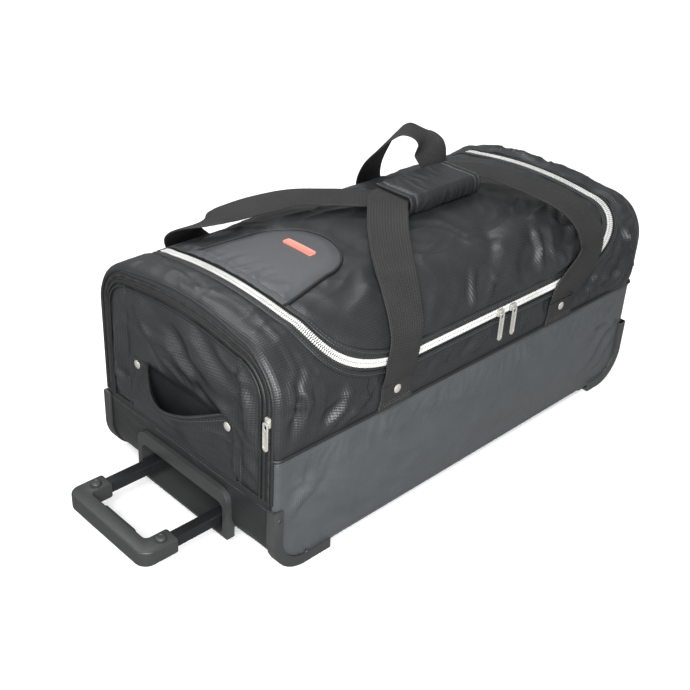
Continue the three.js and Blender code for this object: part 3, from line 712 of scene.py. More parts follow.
def copies(name, template, places, axes, finish):
    """One mesh of many copies of a small template, each at a place with its own three axes."""
    verts = np.array([v.co for v in template.data.vertices]) / MM
    polys = [list(p.vertices) for p in template.data.polygons]
    points = np.einsum("vk,nka->nva", verts, axes) + places[:, None]
    faces = [[v + n * len(verts) for v in poly] for n in range(len(places)) for poly in polys]
    piece = new_mesh(name, points.reshape(-1, 3), faces)
    piece.data.materials.append(FINISHES[finish])
    smooth(piece, 40)
    return piece


def stitches(name, path, up, length=2.4, thick=0.55):
    """A run of stitches along a line."""
    path = np.asarray(path, float)
    pitch = sizes().stitch_pitch / MM
    places = paced(path, pitch)
    nearest = [int(np.argmin(((path - q) ** 2).sum(1))) for q in places]
    normal = unit(np.asarray(up)[nearest])
    way = tangents(places)
    side = unit(np.cross(normal, way))
    axes = np.stack([way, side, normal], 1)
    seed = block("stitch", -length / 2, length / 2, -thick / 2, thick / 2, -thick / 2, thick / 2)
    round_edges(seed, lambda e: True, thick * 0.3, 1)
    piece = copies(name, seed, places + normal * 0.1, axes, "thread")
    discard(seed)
    return piece


# ---------------------------------------------------------------- modelling helpers

def deselect():
    if bpy.context.object and bpy.context.object.mode != "OBJECT":
        bpy.ops.object.mode_set(mode="OBJECT")
    bpy.ops.object.select_all(action="DESELECT")


def focus(piece):
    deselect()
    piece.select_set(True)
    bpy.context.view_layer.objects.active = piece


def apply_modifiers(piece):
    focus(piece)
    for modifier in list(piece.modifiers):
        bpy.ops.object.modifier_apply(modifier=modifier.name)


def smooth(piece, angle=50):
    focus(piece)
    bpy.ops.object.shade_smooth_by_angle(angle=math.radians(angle))


def recalculate(piece):
    pick(piece, "FACE", lambda face: True)
    bpy.ops.mesh.normals_make_consistent(inside=False)
    bpy.ops.object.mode_set(mode="OBJECT")


def discard(piece):
    mesh = piece.data
    bpy.data.objects.remove(piece)
    bpy.data.meshes.remove(mesh)


def pick(piece, kind, test):
    """Leaves the piece in edit mode with the faces, edges or vertices that pass the test selected."""
    focus(piece)
    bpy.ops.object.mode_set(mode="EDIT")
    bpy.ops.mesh.select_mode(type=kind)
    bpy.ops.mesh.select_all(action="DESELECT")
    mesh = bmesh.from_edit_mesh(piece.data)
    items = {"FACE": mesh.faces, "EDGE": mesh.edges, "VERT": mesh.verts}[kind]
    for item in [i for i in items if test(i)]:
        item.select_set(True)
    mesh.select_flush_mode()
    bmesh.update_edit_mesh(piece.data)


def block(name, x0, x1, y0, y1, z0, z1):
    """A cube primitive with its faces at these places, in millimetres."""
    deselect()
    bpy.ops.mesh.primitive_cube_add(
        size=1, location=((x0 + x1) / 2 * MM, (y0 + y1) / 2 * MM, (z0 + z1) / 2 * MM),
        scale=((x1 - x0) * MM, (y1 - y0) * MM, (z1 - z0) * MM))
    piece = bpy.context.object
    piece.name = name
    bpy.ops.object.transform_apply(location=True, rotation=True, scale=True)
    return piece


def cut_through(piece, place, way, **options):
    """Splits a piece on a plane through a place in millimetres, across a direction."""
    pick(piece, "FACE", lambda face: True)
    bpy.ops.mesh.bisect(plane_co=[v * MM for v in place], plane_no=way, **options)
    bpy.ops.object.mode_set(mode="OBJECT")


def round_edges(piece, test, width, segments=4):
    """Bevels the edges that pass the test; width in millimetres."""
    pick(piece, "EDGE", test)
    bpy.ops.mesh.bevel(offset=width * MM, segments=segments, profile=0.5, affect="EDGES")
    bpy.ops.object.mode_set(mode="OBJECT")


def soften(piece, width, segments=2, angle=35):
    """Rounds every sharp edge with a Bevel modifier and applies it."""
    bevel = piece.modifiers.new("Edges", "BEVEL")
    bevel.width = width * MM
    bevel.segments = segments
    bevel.limit_method = "ANGLE"
    bevel.angle_limit = math.radians(angle)
    bevel.harden_normals = False
    apply_modifiers(piece)


def carve(piece, cutter):
    """Cuts one piece away from another and throws the cutter away."""
    cut = piece.modifiers.new("Cut", "BOOLEAN")
    cut.operation = "DIFFERENCE"
    cut.solver = "EXACT"
    cut.object = cutter
    apply_modifiers(piece)
    discard(cutter)


def fuse(piece, other):
    join = piece.modifiers.new("Join", "BOOLEAN")
    join.operation = "UNION"
    join.solver = "EXACT"
    join.object = other
    apply_modifiers(piece)
    discard(other)


def turned(name, profile, centre, axis, steps=48):
    """A lathe piece: profile of (radius, along the axis) in millimetres, spun round an axis."""
    deselect()
    bpy.ops.mesh.primitive_circle_add(vertices=len(profile), radius=0.01)
    piece = bpy.context.object
    piece.name = name
    bpy.ops.object.transform_apply(location=True, rotation=True, scale=True)
    way = Vector(axis).normalized()
    out = way.orthogonal().normalized()
    middle = Vector(centre) * MM
    for vertex, (radius, along) in zip(piece.data.vertices, profile):
        vertex.co = middle + out * (radius * MM) + way * (along * MM)
    pick(piece, "EDGE", lambda edge: True)
    bpy.ops.mesh.spin(steps=steps, angle=2 * math.pi, center=middle, axis=way, use_auto_merge=True)
    bpy.ops.mesh.select_all(action="SELECT")
    bpy.ops.mesh.remove_doubles(threshold=0.00001)
    bpy.ops.mesh.normals_make_consistent(inside=False)
    bpy.ops.object.mode_set(mode="OBJECT")
    return piece


def along(edge, axis):
    """True if an edge runs along an axis, 0 to 2."""
    way = edge.verts[1].co - edge.verts[0].co
    return abs(way[axis]) > 0.95 * way.length


def middle(edge):
    return (edge.verts[0].co + edge.verts[1].co) / 2 / MM


def place_piece(piece, body, slot, *nodes, finish=None):
    """Gives a piece its finish and its body, and hides the imported nodes that it stands for; slot is not
    used.
    """
    if finish:
        piece.data.materials.clear()
        piece.data.materials.append(FINISHES[finish])
    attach(piece, body)
    if nodes:
        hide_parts(*nodes)
    return piece


# ---------------------------------------------------------------- relief shared by the soft panels

def outline_room(p):
    """How far a point is inside the outline seen from the front, 0 near the edge and 1 past 60 mm."""
    return soft_step(-side_distance(p), 10, 62)


def lid_swell(p):
    """How far the lid fills out."""
    x, y = p[..., 0], p[..., 1]
    inside = np.clip(-lid_distance(p) - 8, 0, 200)
    rise = 1 - np.exp(-inside / 30.0)
    long_way = np.clip(1 - (np.abs(x - 6) / 285) ** 3, 0, 1)
    wide_way = np.clip(1 - ((y + 10) / 190) ** 2, 0, 1) ** 0.5
    return sizes().lid_bulge / MM * rise * long_way * wide_way


def raised(points, height):
    return points + body_normal(points) * np.asarray(height)[..., None]


def bead(name, path, lift, radius, body, slot, finish="piping"):
    """Round piping along a line on the body, raised from it by a lift."""
    side, up = skin_frames(path)
    piece = sweep(name, path + up * lift, side, up, round_profile(radius), finish)
    return place_piece(piece, body, slot)


def end_grid(x, y_places, z_places):
    """A grid settled onto an end of the bag, with its cloth map."""
    y, z = np.meshgrid(np.linspace(*y_places), np.linspace(*z_places), indexing="ij")
    p = onto_body(np.stack([np.full_like(y, x), y, z], -1), free=(1, 0, 0))
    return p, y, z, np.stack([y, z], -1)


def thick_shell(name, outer, inner, cloth):
    """A closed fabric piece between two grids of the same size."""
    n, m = outer.shape[:2]
    faces = grid_faces(n, m).tolist()
    total = n * m
    ring = [i * m for i in range(n)] + [(n - 1) * m + j for j in range(1, m)]
    ring += [i * m + m - 1 for i in range(n - 2, -1, -1)] + [j for j in range(m - 2, 0, -1)]
    rim = [[a, b, b + total, a + total] for a, b in zip(ring, ring[1:] + ring[:1])]
    back = [[q + total for q in f[::-1]] for f in faces]
    points = np.concatenate([outer.reshape(-1, 3), inner.reshape(-1, 3)])
    piece = new_mesh(name, points, faces + back + rim, np.concatenate([cloth.reshape(-1, 2)] * 2))
    recalculate(piece)
    piece.data.materials.append(FINISHES["fabric"])
    smooth(piece)
    return piece


class DuffelOperator:
    """Options shared by the operators."""

    bl_options = {"REGISTER", "UNDO"}


class DUFFEL_OT_stage(DuffelOperator, bpy.types.Operator):
    """Floor, soft lights and the camera"""

    bl_idname = "duffel.stage"
    bl_label = "Stage"

    def execute(self, context):
        scene = context.scene
        deselect()
        bpy.ops.mesh.primitive_plane_add(size=120, location=(0, 0, 0))
        floor = context.object
        floor.name = "studio_floor"
        floor.data.materials.append(FINISHES["floor"])
        floor.visible_diffuse = False
        floor.visible_glossy = False
        turn = math.radians(3.3)
        right = Vector((0.696, -0.718, 0))
        up = Vector((0.362, 0.351, 0.863))
        back = Vector((-0.620, -0.601, 0.5045))
        target = Vector((0, 0, 0.1438)) - right * 0.0533 - up * 0.0377
        across = right * math.cos(turn) + up * math.sin(turn)
        upward = up * math.cos(turn) - right * math.sin(turn)
        back.normalize()
        across = (across - back * across.dot(back)).normalized()
        upward = back.cross(across)
        bpy.ops.object.camera_add(location=target + back * 1.402)
        camera = context.object
        camera.rotation_mode = "QUATERNION"
        camera.rotation_quaternion = Matrix((across, upward, back)).transposed().to_quaternion()
        camera.data.lens = 55.87
        camera.data.sensor_width = 36
        scene.camera = camera
        bpy.ops.object.light_add(type="SUN", location=(0, 0, 3))
        key = context.object
        key.name = "light_key"
        key.data.energy = 1.9
        key.data.angle = math.radians(30)
        key.rotation_mode = "QUATERNION"
        key.rotation_quaternion = Vector((-0.62, -0.42, 0.95)).to_track_quat("Z", "Y")
        for name, place, size, power, aim in (
                ("left", (-1.6, -1.2, 1.1), 0.9, 17, (-0.1, -0.1, 0.1)),
                ("front", (-0.72, -0.92, 0.42), 0.45, 9, (-0.3, -0.15, 0.08)),
                ("top", (0.1, 0.9, 1.8), 0.9, 13, (0, 0, 0.2)),
                ("end", (-2.2, 0.5, 0.8), 0.8, 5, (-0.3, 0, 0.12))):
            bpy.ops.object.light_add(type="AREA", location=place)
            light = context.object
            light.name = f"light_{name}"
            light.data.size = size
            light.data.energy = power
            light.rotation_mode = "QUATERNION"
            light.rotation_quaternion = (Vector(place) - Vector(aim)).to_track_quat("Z", "Y")
        world = bpy.data.worlds.new("Studio")
        world.use_nodes = True
        background = world.node_tree.nodes["Background"]
        background.inputs["Color"].default_value = (1, 1, 1, 1)
        background.inputs["Strength"].default_value = 0.34
        scene.world = world
        scene.view_settings.view_transform = "Standard"
        return {"FINISHED"}


class DUFFEL_OT_lower_panels(DuffelOperator, bpy.types.Operator):
    """Satin panels round the base, the panel round the trolley and their piped seams"""

    bl_idname = "duffel.lower_panels"
    bl_label = "Lower panels"

    def execute(self, context):
        self.wrap_panel()
        self.trolley_panel()
        self.seams()
        return {"FINISHED"}

    def plan(self, s):
        """Places in plan at distances round the wrap, 0 in the middle of the front, and its corner marks."""
        front, half_end = HALF_LENGTH - CORNER, HALF_WIDTH - CORNER
        turn = CORNER * math.pi / 2
        marks = np.cumsum([-front - turn, turn, 2 * front, turn, 2 * half_end, turn, 2 * front, turn])
        middles = ((-front, -half_end), (front, -half_end), (front, half_end), (-front, half_end))
        x, y = np.zeros_like(s), np.zeros_like(s)
        for n, (middle_x, middle_y) in enumerate(middles):
            k = s >= marks[2 * n]
            past = s[k] - marks[2 * n]
            angle = math.pi * (1 + n / 2) + np.minimum(past / CORNER, math.pi / 2)
            straight = np.maximum(past - turn, 0)
            x[k] = middle_x + CORNER * np.cos(angle) - straight * np.sin(angle)
            y[k] = middle_y + CORNER * np.sin(angle) + straight * np.cos(angle)
        return x, y, marks

    def surface(self, s, z):
        x, y, _ = self.plan(s)
        return onto_body(np.stack([x, y, z], -1), free=(1, 1, 0))

    def wrap_panel(self):
        _, _, marks = self.plan(np.zeros(1))
        s = np.linspace(marks[0] + 2.4, marks[-1] - 2.4, 560)
        z = np.linspace(BASE_SEAM, SIDE_SEAM, 52)
        s, z = np.meshgrid(s, z, indexing="ij")
        p = self.surface(s, z)
        uv = np.stack([s, z], -1)
        bulge = sizes().front_bulge / MM
        on_end = np.abs(p[..., 0] - HALF_LENGTH) < 12
        upright = np.clip(1 - np.abs((z - 82) / 78) ** 2.4, 0, 1)
        along_side = soft_step(HALF_LENGTH - np.abs(p[..., 0]), 12, 120)
        along_end = np.clip(1 - np.abs(p[..., 1] / 150) ** 3, 0, 1)
        fill = bulge * upright * np.where(on_end, along_end * 0.7, along_side)
        fill *= 0.35 + 0.65 * outline_room(p)
        room = soft_step(-side_distance(p), 13, 34)
        pucker = ripples(uv, 62, 70, 13, 1.5, 4.0) * soft_step(z, 95, 150) * soft_step(157 - z, 2, 14)
        slack = ripples(uv, -24, 170, 46, 2.8, 11.0) + hum(uv, 95, 2.0) * 2.2
        pucker += ripples(uv, 6, 40, 9, 1.3, 14.0) * soft_step(-s, 286, 322) * soft_step(z, 70, 110)
        creases = folds(uv, [
            (-300, 120, -215, 40, 9, 2.2), (-318, 70, -262, 130, 7, 1.8), (210, 132, 318, 96, 8, 2.8),
            (180, 150, 262, 88, 7, 1.8), (232, 60, 316, 118, 9, 2.4), (60, 148, 120, 108, 8, 1.4),
            (-80, 150, -30, 112, 8, 1.3), (-190, 150, -140, 116, 7, 1.3), (258, 40, 322, 74, 7, 2.0),
            (330, 40, 420, 120, 10, 2.4), (470, 120, 560, 60, 10, 2.4), (590, 110, 640, 40, 9, 2.0)])
        side_only = np.where(on_end, soft_step(150 - np.abs(p[..., 1]), 4, 26), room)
        wrinkle = sizes().wrinkle * (pucker * 1.5 + slack * 0.8 + creases * 1.3) * side_only
        seam = -1.4 * np.exp(-((SIDE_SEAM - z) / 4.5) ** 2)
        p = raised(p, np.maximum(fill + wrinkle * np.clip(upright + 0.25, 0, 1) + seam, -5))

        def keep(q):
            across = np.abs(q[..., 1])
            beside_wheel = np.minimum(across - 107.6, 150 - across)
            return np.minimum(beside_wheel, np.minimum(93.4 - q[..., 2], q[..., 0] - 258))

        piece = panel("lower_wrap_panel", p, uv, keep, 1.8, "panel", 3.2)
        place_piece(piece, "bag", "panel", "lower_shell")

    def trolley_panel(self):
        p, y, z, uv = end_grid(-HALF_LENGTH, (-151, 151, 112), (BASE_SEAM, END_SEAM, 32))
        height = ripples(uv, 12, 90, 20, 0.8, 8.0) + hum(uv, 60, 5.0) * 0.8
        height += 2.2 * np.clip(1 - ((z - 86) / 14) ** 2, 0, 1) - 1.2 * np.exp(-((END_SEAM - z) / 3.0) ** 2)
        height *= soft_step(150 - np.abs(y), 0, 14)
        p = raised(p, height)

        def keep(q):
            half, top, radius = 84.0, 76.0, 16.0
            across = np.abs(q[..., 1]) - half + radius
            rise = q[..., 2] - top + radius
            outside = np.hypot(np.maximum(across, 0), np.maximum(rise, 0)) - radius
            return -(outside + np.minimum(np.maximum(across, rise), 0))

        piece = panel("trolley_surround_panel", p, uv, keep, 1.6, "coated", 2.8)
        place_piece(piece, "bag", "coated", "end_base_panel")
        y = np.linspace(-148, 148, 120)
        line = np.stack([np.full(120, -HALF_LENGTH), y, np.full(120, END_SEAM - 8.0)], -1)
        line = onto_body(line, free=(1, 0, 0))
        up = body_normal(line)
        run = stitches("surround_stitches", line + up * 2.0, up)
        place_piece(run, "bag", "coated")

    def seams(self):
        _, _, marks = self.plan(np.zeros(1))
        s = np.linspace(marks[0] + 1, marks[-1] - 1, 700)
        for name, z, lift, radius, finish in (("waist_piping", SIDE_SEAM, 0.7, 2.1, "piping"),
                                              ("base_piping", BASE_SEAM + 0.8, 0.3, 1.5, "panel")):
            bead(name, self.surface(s, np.full_like(s, z)), lift, radius, "bag", "panel", finish)
        y = np.linspace(-150, 150, 140)
        line = np.stack([np.full(140, -HALF_LENGTH), y, np.full(140, END_SEAM)], -1)
        bead("end_seam_piping", onto_body(line, free=(1, 0, 0)), 0.6, 1.9, "bag", "coated")
        s = np.linspace(marks[0] + 6, marks[-1] - 6, 900)
        path = self.surface(s, np.full_like(s, SIDE_SEAM - 6.0))
        up = body_normal(path)
        off = soft_step(HALF_LENGTH - np.abs(path[:, 0]), 12, 120) * 1.2
        run = stitches("waist_stitches", path + up * off[:, None], up)
        place_piece(run, "bag", "panel")


class DUFFEL_OT_upper_shell(DuffelOperator, bpy.types.Operator):
    """Upper fabric round the lid and the panel at the wheel end"""

    bl_idname = "duffel.upper_shell"
    bl_label = "Upper shell"

    def execute(self, context):
        limit = HALF_LENGTH - CORNER + CORNER * math.radians(76)
        low = SIDE_SEAM - BASE_SEAM
        s, t = np.meshgrid(
            np.linspace(-limit, limit, 224), np.linspace(low, FULL_T - low, 170), indexing="ij")
        p = wrapped(s, t)
        uv = np.stack([s, t], -1)
        z = p[..., 2]
        from_seam = np.minimum(t - 145, FULL_T - 145 - t)
        from_zip = np.maximum(lid_distance(p) - ZIP_TAPE, 0)
        from_end = HALF_LENGTH - np.abs(s)
        room = soft_step(from_seam, 1, 24) * soft_step(from_end, 2, 26)
        room = room * (0.25 + 0.75 * soft_step(from_zip, 0, 22))
        tall = 1.0 + 0.7 * soft_step(np.abs(s), 150, 250)
        waves = ripples(uv, 38, 100, 24, 2.8, 1.0) + ripples(uv, -52, 120, 30, 2.6, 21.0)
        upright = ripples(uv, 88, 120, 14, 2.4, 9.0) * soft_step(np.abs(s), 235, 285)
        creases = folds(uv, [
            (-300, 150, -285, 245, 7, 3.2), (-318, 180, -300, 260, 6, 2.6), (-262, 150, -225, 205, 8, 3.0),
            (-240, 152, -190, 175, 6, 2.0), (-95, 150, -60, 190, 7, 2.0), (-40, 152, 20, 186, 7, 2.4),
            (60, 150, 96, 192, 7, 2.2), (108, 195, 128, 150, 6, 2.0), (206, 150, 250, 215, 8, 3.2),
            (236, 158, 300, 240, 8, 3.0), (268, 150, 312, 190, 7, 2.8), (282, 235, 318, 160, 7, 3.0),
            (300, 250, 290, 330, 8, 2.2), (-300, 262, -286, 340, 8, 2.4)])
        relief = (waves * 0.85 * tall + upright * 1.3 + creases * 1.5) * room * sizes().wrinkle
        relief *= 1 - 0.62 * soft_step(z, 205, 245) * soft_step(-s, 150, 230)
        relief += 2.2 * soft_step(from_zip, 0, 12) * soft_step(from_seam, 0, 20) * (np.abs(s) > 200)
        full = soft_step(p[..., 1], LID_HINGE + 3, 142) * soft_step(z, 200, 245) * soft_step(330 - s, 4, 60)
        at_wheels = 4.0 * soft_step(s, 262, 304) * soft_step(from_end, 4, 26)
        relief += 6.5 * full * soft_step(s, -260, -120) + at_wheels
        from_tab = np.abs(np.abs(p[..., 0]) - TAB_X)
        relief = np.where(from_tab < 32, np.minimum(relief, 0.3), relief)
        relief = np.maximum(relief, -4.0)
        near_tab = (from_tab < 30) & (z < 215)
        relief = np.where(near_tab, relief * 0.4, relief)
        p = raised(p, relief)

        piece = panel("upper_shell_fabric", p, uv, lambda q: -lid_region(q, ZIP_TAPE + GAP), cell=3.2)
        place_piece(piece, "bag", "fabric", "upper_shell")
        self.wheel_end()
        x = np.linspace(LID_LEFT - 8, LID_RIGHT + 8, 190)
        line = np.stack([x, np.full(190, float(LID_HINGE)), np.full(190, 276.0)], -1)
        bead("hinge_piping", onto_body(line, free=(0, 0, 1)), 0.5, 2.0, "bag", "fabric")
        return {"FINISHED"}

    def wheel_end(self):
        p, _, z, uv = end_grid(HALF_LENGTH, (-152, 152, 104), (SIDE_SEAM, 286, 46))
        room = soft_step(-cross_distance(p), 6, 34) * soft_step(z - SIDE_SEAM, 0, 20)
        creases = folds(uv, [
            (-110, 165, -60, 250, 9, 3.0), (100, 170, 40, 260, 10, 3.0), (-40, 160, -10, 225, 8, 2.2)])
        relief = 5.0 * room + (ripples(uv, 70, 90, 20, 2.4, 15.0) + creases) * room
        p = raised(p, relief)
        piece = panel("wheel_end_panel", p, uv, lambda q: cross_distance(q) + 6.0, 1.6, "fabric", 3.0)
        place_piece(piece, "bag", "fabric")
        path, _, _ = end_outline(HALF_LENGTH, 6.0, SIDE_SEAM)
        bead("wheel_end_piping", path, 0.6, 1.9, "bag", "fabric")


def end_outline(x, inset, z0, pitch=3.0):
    """A line on an end face inset from the outline, from z0 at the front, over the top, to the rear."""
    y, z = section(np.linspace(0, FULL_T, 900))
    p = np.stack([np.full_like(y, 0.0), y, z], -1)
    p = p - unit(slope(cross_distance, p)) * inset
    p = p[p[:, 2] >= z0]
    p[:, 0] = x
    path = paced(onto_body(p, free=(1, 0, 0)), pitch)
    side, up = skin_frames(path)
    return path, side, up


class DUFFEL_OT_lid(DuffelOperator, bpy.types.Operator):
    """Padded lid with its top pocket and label"""

    bl_idname = "duffel.lid"
    bl_label = "Lid"

    def execute(self, context):
        hinge_t = float(np.interp(LID_HINGE - 0.4, SECTION[:, 0][90:], SECTION_T[90:]))
        s, t = np.meshgrid(np.linspace(LID_LEFT + 4, LID_RIGHT - 4, 196),
                           np.linspace(LID_BOTTOM - BASE_SEAM + 6, hinge_t, 128), indexing="ij")
        p = wrapped(s, t)
        uv = np.stack([s, t], -1)
        inside = np.clip(-lid_distance(p) - ZIP_TAPE, 0, 400)
        hem = soft_step(inside, 0, 16)
        waves = ripples(uv, 24, 130, 34, 3.4, 2.0) + ripples(uv, -48, 140, 40, 3.2, 17.0)
        waves = waves + hum(uv, 34, 7.0) * 0.9
        creases = folds(uv, [
            (20, 232, 120, 318, 15, 4.2), (70, 222, 190, 236, 10, 3.4), (96, 226, 128, 282, 6, 2.8),
            (-34, 220, -8, 262, 5, 4.2), (-14, 216, 22, 246, 5, 3.6), (12, 250, 48, 226, 6, 3.4),
            (128, 262, 236, 344, 14, 4.4), (150, 226, 232, 300, 7, 2.8), (60, 288, 200, 300, 13, 3.0),
            (196, 262, 262, 330, 11, 3.2), (-130, 216, -60, 262, 8, 2.2), (-210, 262, -150, 300, 8, 2.2),
            (-60, 218, 20, 244, 6, 1.8), (0, 240, 70, 290, 8, 2.4), (150, 330, 250, 400, 9, 2.6),
            (160, 420, 240, 480, 9, 2.6), (-40, 420, 60, 500, 9, 2.2), (-230, 400, -150, 500, 9, 2.4)], 6.0)
        front_right = 0.65 + 0.7 * soft_step(uv[..., 0], -20, 120) * soft_step(360 - uv[..., 1], 0, 90)
        relief = lid_swell(p) + (waves * 0.8 + creases * 1.25) * hem * sizes().wrinkle * front_right
        relief += 1.6 * hem * np.exp(-inside / 26.0)
        pocket = soft_step(-pocket_distance(p), -10, 2)
        relief = relief * (1 - pocket) + lid_swell(p) * pocket
        p = raised(p, relief)

        piece = panel("lid_fabric", p, uv, lambda q: lid_region(q, -ZIP_TAPE - GAP), cell=3.2)
        place_piece(piece, "lid", "fabric", "lid_panel")
        self.pocket()
        self.label()
        return {"FINISHED"}

    def pocket(self):
        x, y = np.meshgrid(np.linspace(-257, -120, 62), np.linspace(-84, 84, 74), indexing="ij")
        p = onto_body(np.stack([x, y, np.full_like(x, 286.0)], -1), free=(0, 0, 1))
        uv = np.stack([x, y], -1)
        inside = -pocket_distance(p)
        mouth = np.exp(-((x + 251) / 7.0) ** 2)
        puckers = ripples(uv, 10, 60, 16, 1.4, 6.0) * soft_step(-x, 205, 250)
        relief = lid_swell(p) + 1.0 + 2.0 * soft_step(inside, 0, 14) + mouth * 1.8
        relief = relief + puckers * soft_step(inside, 0, 10)
        piece = panel("top_pocket_panel", raised(p, relief), uv, pocket_distance, 1.2, "pocket", 2.6)
        place_piece(piece, "lid", "pocket", "top_pocket")
        angle = np.linspace(-math.pi / 2, math.pi / 2, 70)
        curve = np.stack([-180 + 58 * np.cos(angle), 66 * np.sin(angle)], -1)
        line = np.concatenate([[(-255, -82)], curve, [(-255, 82)]])
        line = paced(np.concatenate([line, np.full((len(line), 1), 286.0)], 1), 2.5)
        path = onto_body(line, free=(0, 0, 1))
        bead("pocket_piping", raised(path, lid_swell(path) + 1.6), 0, 1.7, "lid", "pocket")
        mouth_line = paced([(-254, -81, 286), (-254, 81, 286)], 2.5)
        path = onto_body(mouth_line, free=(0, 0, 1))
        path = raised(path, lid_swell(path) + 3.2 + ripples(path[:, :2], 10, 60, 12, 1.4, 6.0))
        side, up = skin_frames(path)
        binding = sweep("pocket_binding", path, side, up, band_profile(9, 2.0, 8), "pocket")
        place_piece(binding, "lid", "pocket")

    def label(self):
        base = block("label_plate", -170.2, -159.8, -27.3, 19.3, 0, 1.6)
        round_edges(base, lambda e: along(e, 2), 2.0, 5)
        pick(base, "FACE", lambda f: f.normal.z > 0.9)
        bpy.ops.mesh.inset(thickness=1.0 * MM)
        bpy.ops.transform.translate(value=(0, 0, -0.45 * MM))
        bpy.ops.object.mode_set(mode="OBJECT")
        pick(base, "FACE", lambda f: True)
        bpy.ops.mesh.subdivide(number_cuts=3)
        bpy.ops.object.mode_set(mode="OBJECT")
        co = np.array([v.co for v in base.data.vertices]) / MM
        under = onto_body(np.stack([co[:, 0], co[:, 1], np.full(len(co), 286.0)], -1), free=(0, 0, 1))
        placed = raised(under, lid_swell(under) + 3.0 + co[:, 2])
        base.data.vertices.foreach_set("co", (placed * MM).astype(np.float32).ravel())
        smooth(base)
        place_piece(base, "lid", "label", "label", finish="label")


def pocket_distance(p):
    """Distance outside the top pocket's outline."""
    x, y = p[..., 0], p[..., 1]
    k = np.sqrt(((x + 180) / 58) ** 2 + (y / 66) ** 2)
    steep = np.sqrt(((x + 180) / 58 ** 2) ** 2 + (y / 66 ** 2) ** 2)
    curve = k * (k - 1) / np.maximum(steep, 1e-6)
    flank = np.abs(y) - 66 - (-180 - x) * (16 / 75)
    shape = np.where(x > -180, curve, flank)
    return np.where(p[..., 2] < 230, 99.0, np.maximum(shape, -255 - x))


class DUFFEL_OT_main_zip(DuffelOperator, bpy.types.Operator):
    """Main zip: two tapes, two rows of teeth and the stitched hems beside them"""

    bl_idname = "duffel.main_zip"
    bl_label = "Main zip"

    def execute(self, context):
        line = paced(zip_line(), 2.5)
        side, up = skin_frames(line)
        toward_lid = np.sign((side * (np.array([6.0, 20.0, 300.0]) - line)).sum(1).mean())
        for body, sign, node in (("lid", toward_lid, "zip_tape_lid"), ("bag", -toward_lid, "zip_tape_body")):
            inner = line + side * (sign * 5.6) - up * 0.9
            tape = sweep(f"zip_tape_{body}", inner, side, up, band_profile(10.6, 0.9, 8, 0.4), "tape")
            place_piece(tape, body, "tape", node)
            hem = line + side * (sign * (ZIP_TAPE + 3.0)) + up * 0.9
            piece = sweep(f"zip_hem_{body}", hem, side, up, band_profile(6.5, 2.2, 6, 0.9), "fabric")
            place_piece(piece, body, "fabric")
            run = stitches(f"zip_stitches_{body}", line + side * (sign * (ZIP_TAPE + 3.4)) + up * 2.0, up)
            place_piece(run, body, "fabric")
            self.teeth(body, sign)
        return {"FINISHED"}

    def teeth(self, body, sign):
        pitch = sizes().tooth_pitch / MM
        places = paced(zip_line(), pitch / 2)
        places = places[(0 if sign > 0 else 1)::2]
        side, up = skin_frames(places)
        way = tangents(places)
        seed = block("tooth", -pitch * 0.40, pitch * 0.40, -2.0, 2.6, -1.2, 1.2)
        round_edges(seed, lambda e: True, 0.5, 1)
        pick(seed, "VERT", lambda v: v.co.y / MM < -1.4)
        bpy.ops.transform.resize(value=(0.72, 1, 0.9))
        bpy.ops.object.mode_set(mode="OBJECT")
        axes = np.stack([way, side * sign, up], 1)
        row = copies(f"zip_teeth_{body}", seed, places + side * (sign * 2.1) + up * 0.5, axes, "teeth")
        discard(seed)
        recalculate(row)
        place_piece(row, body, "tape")


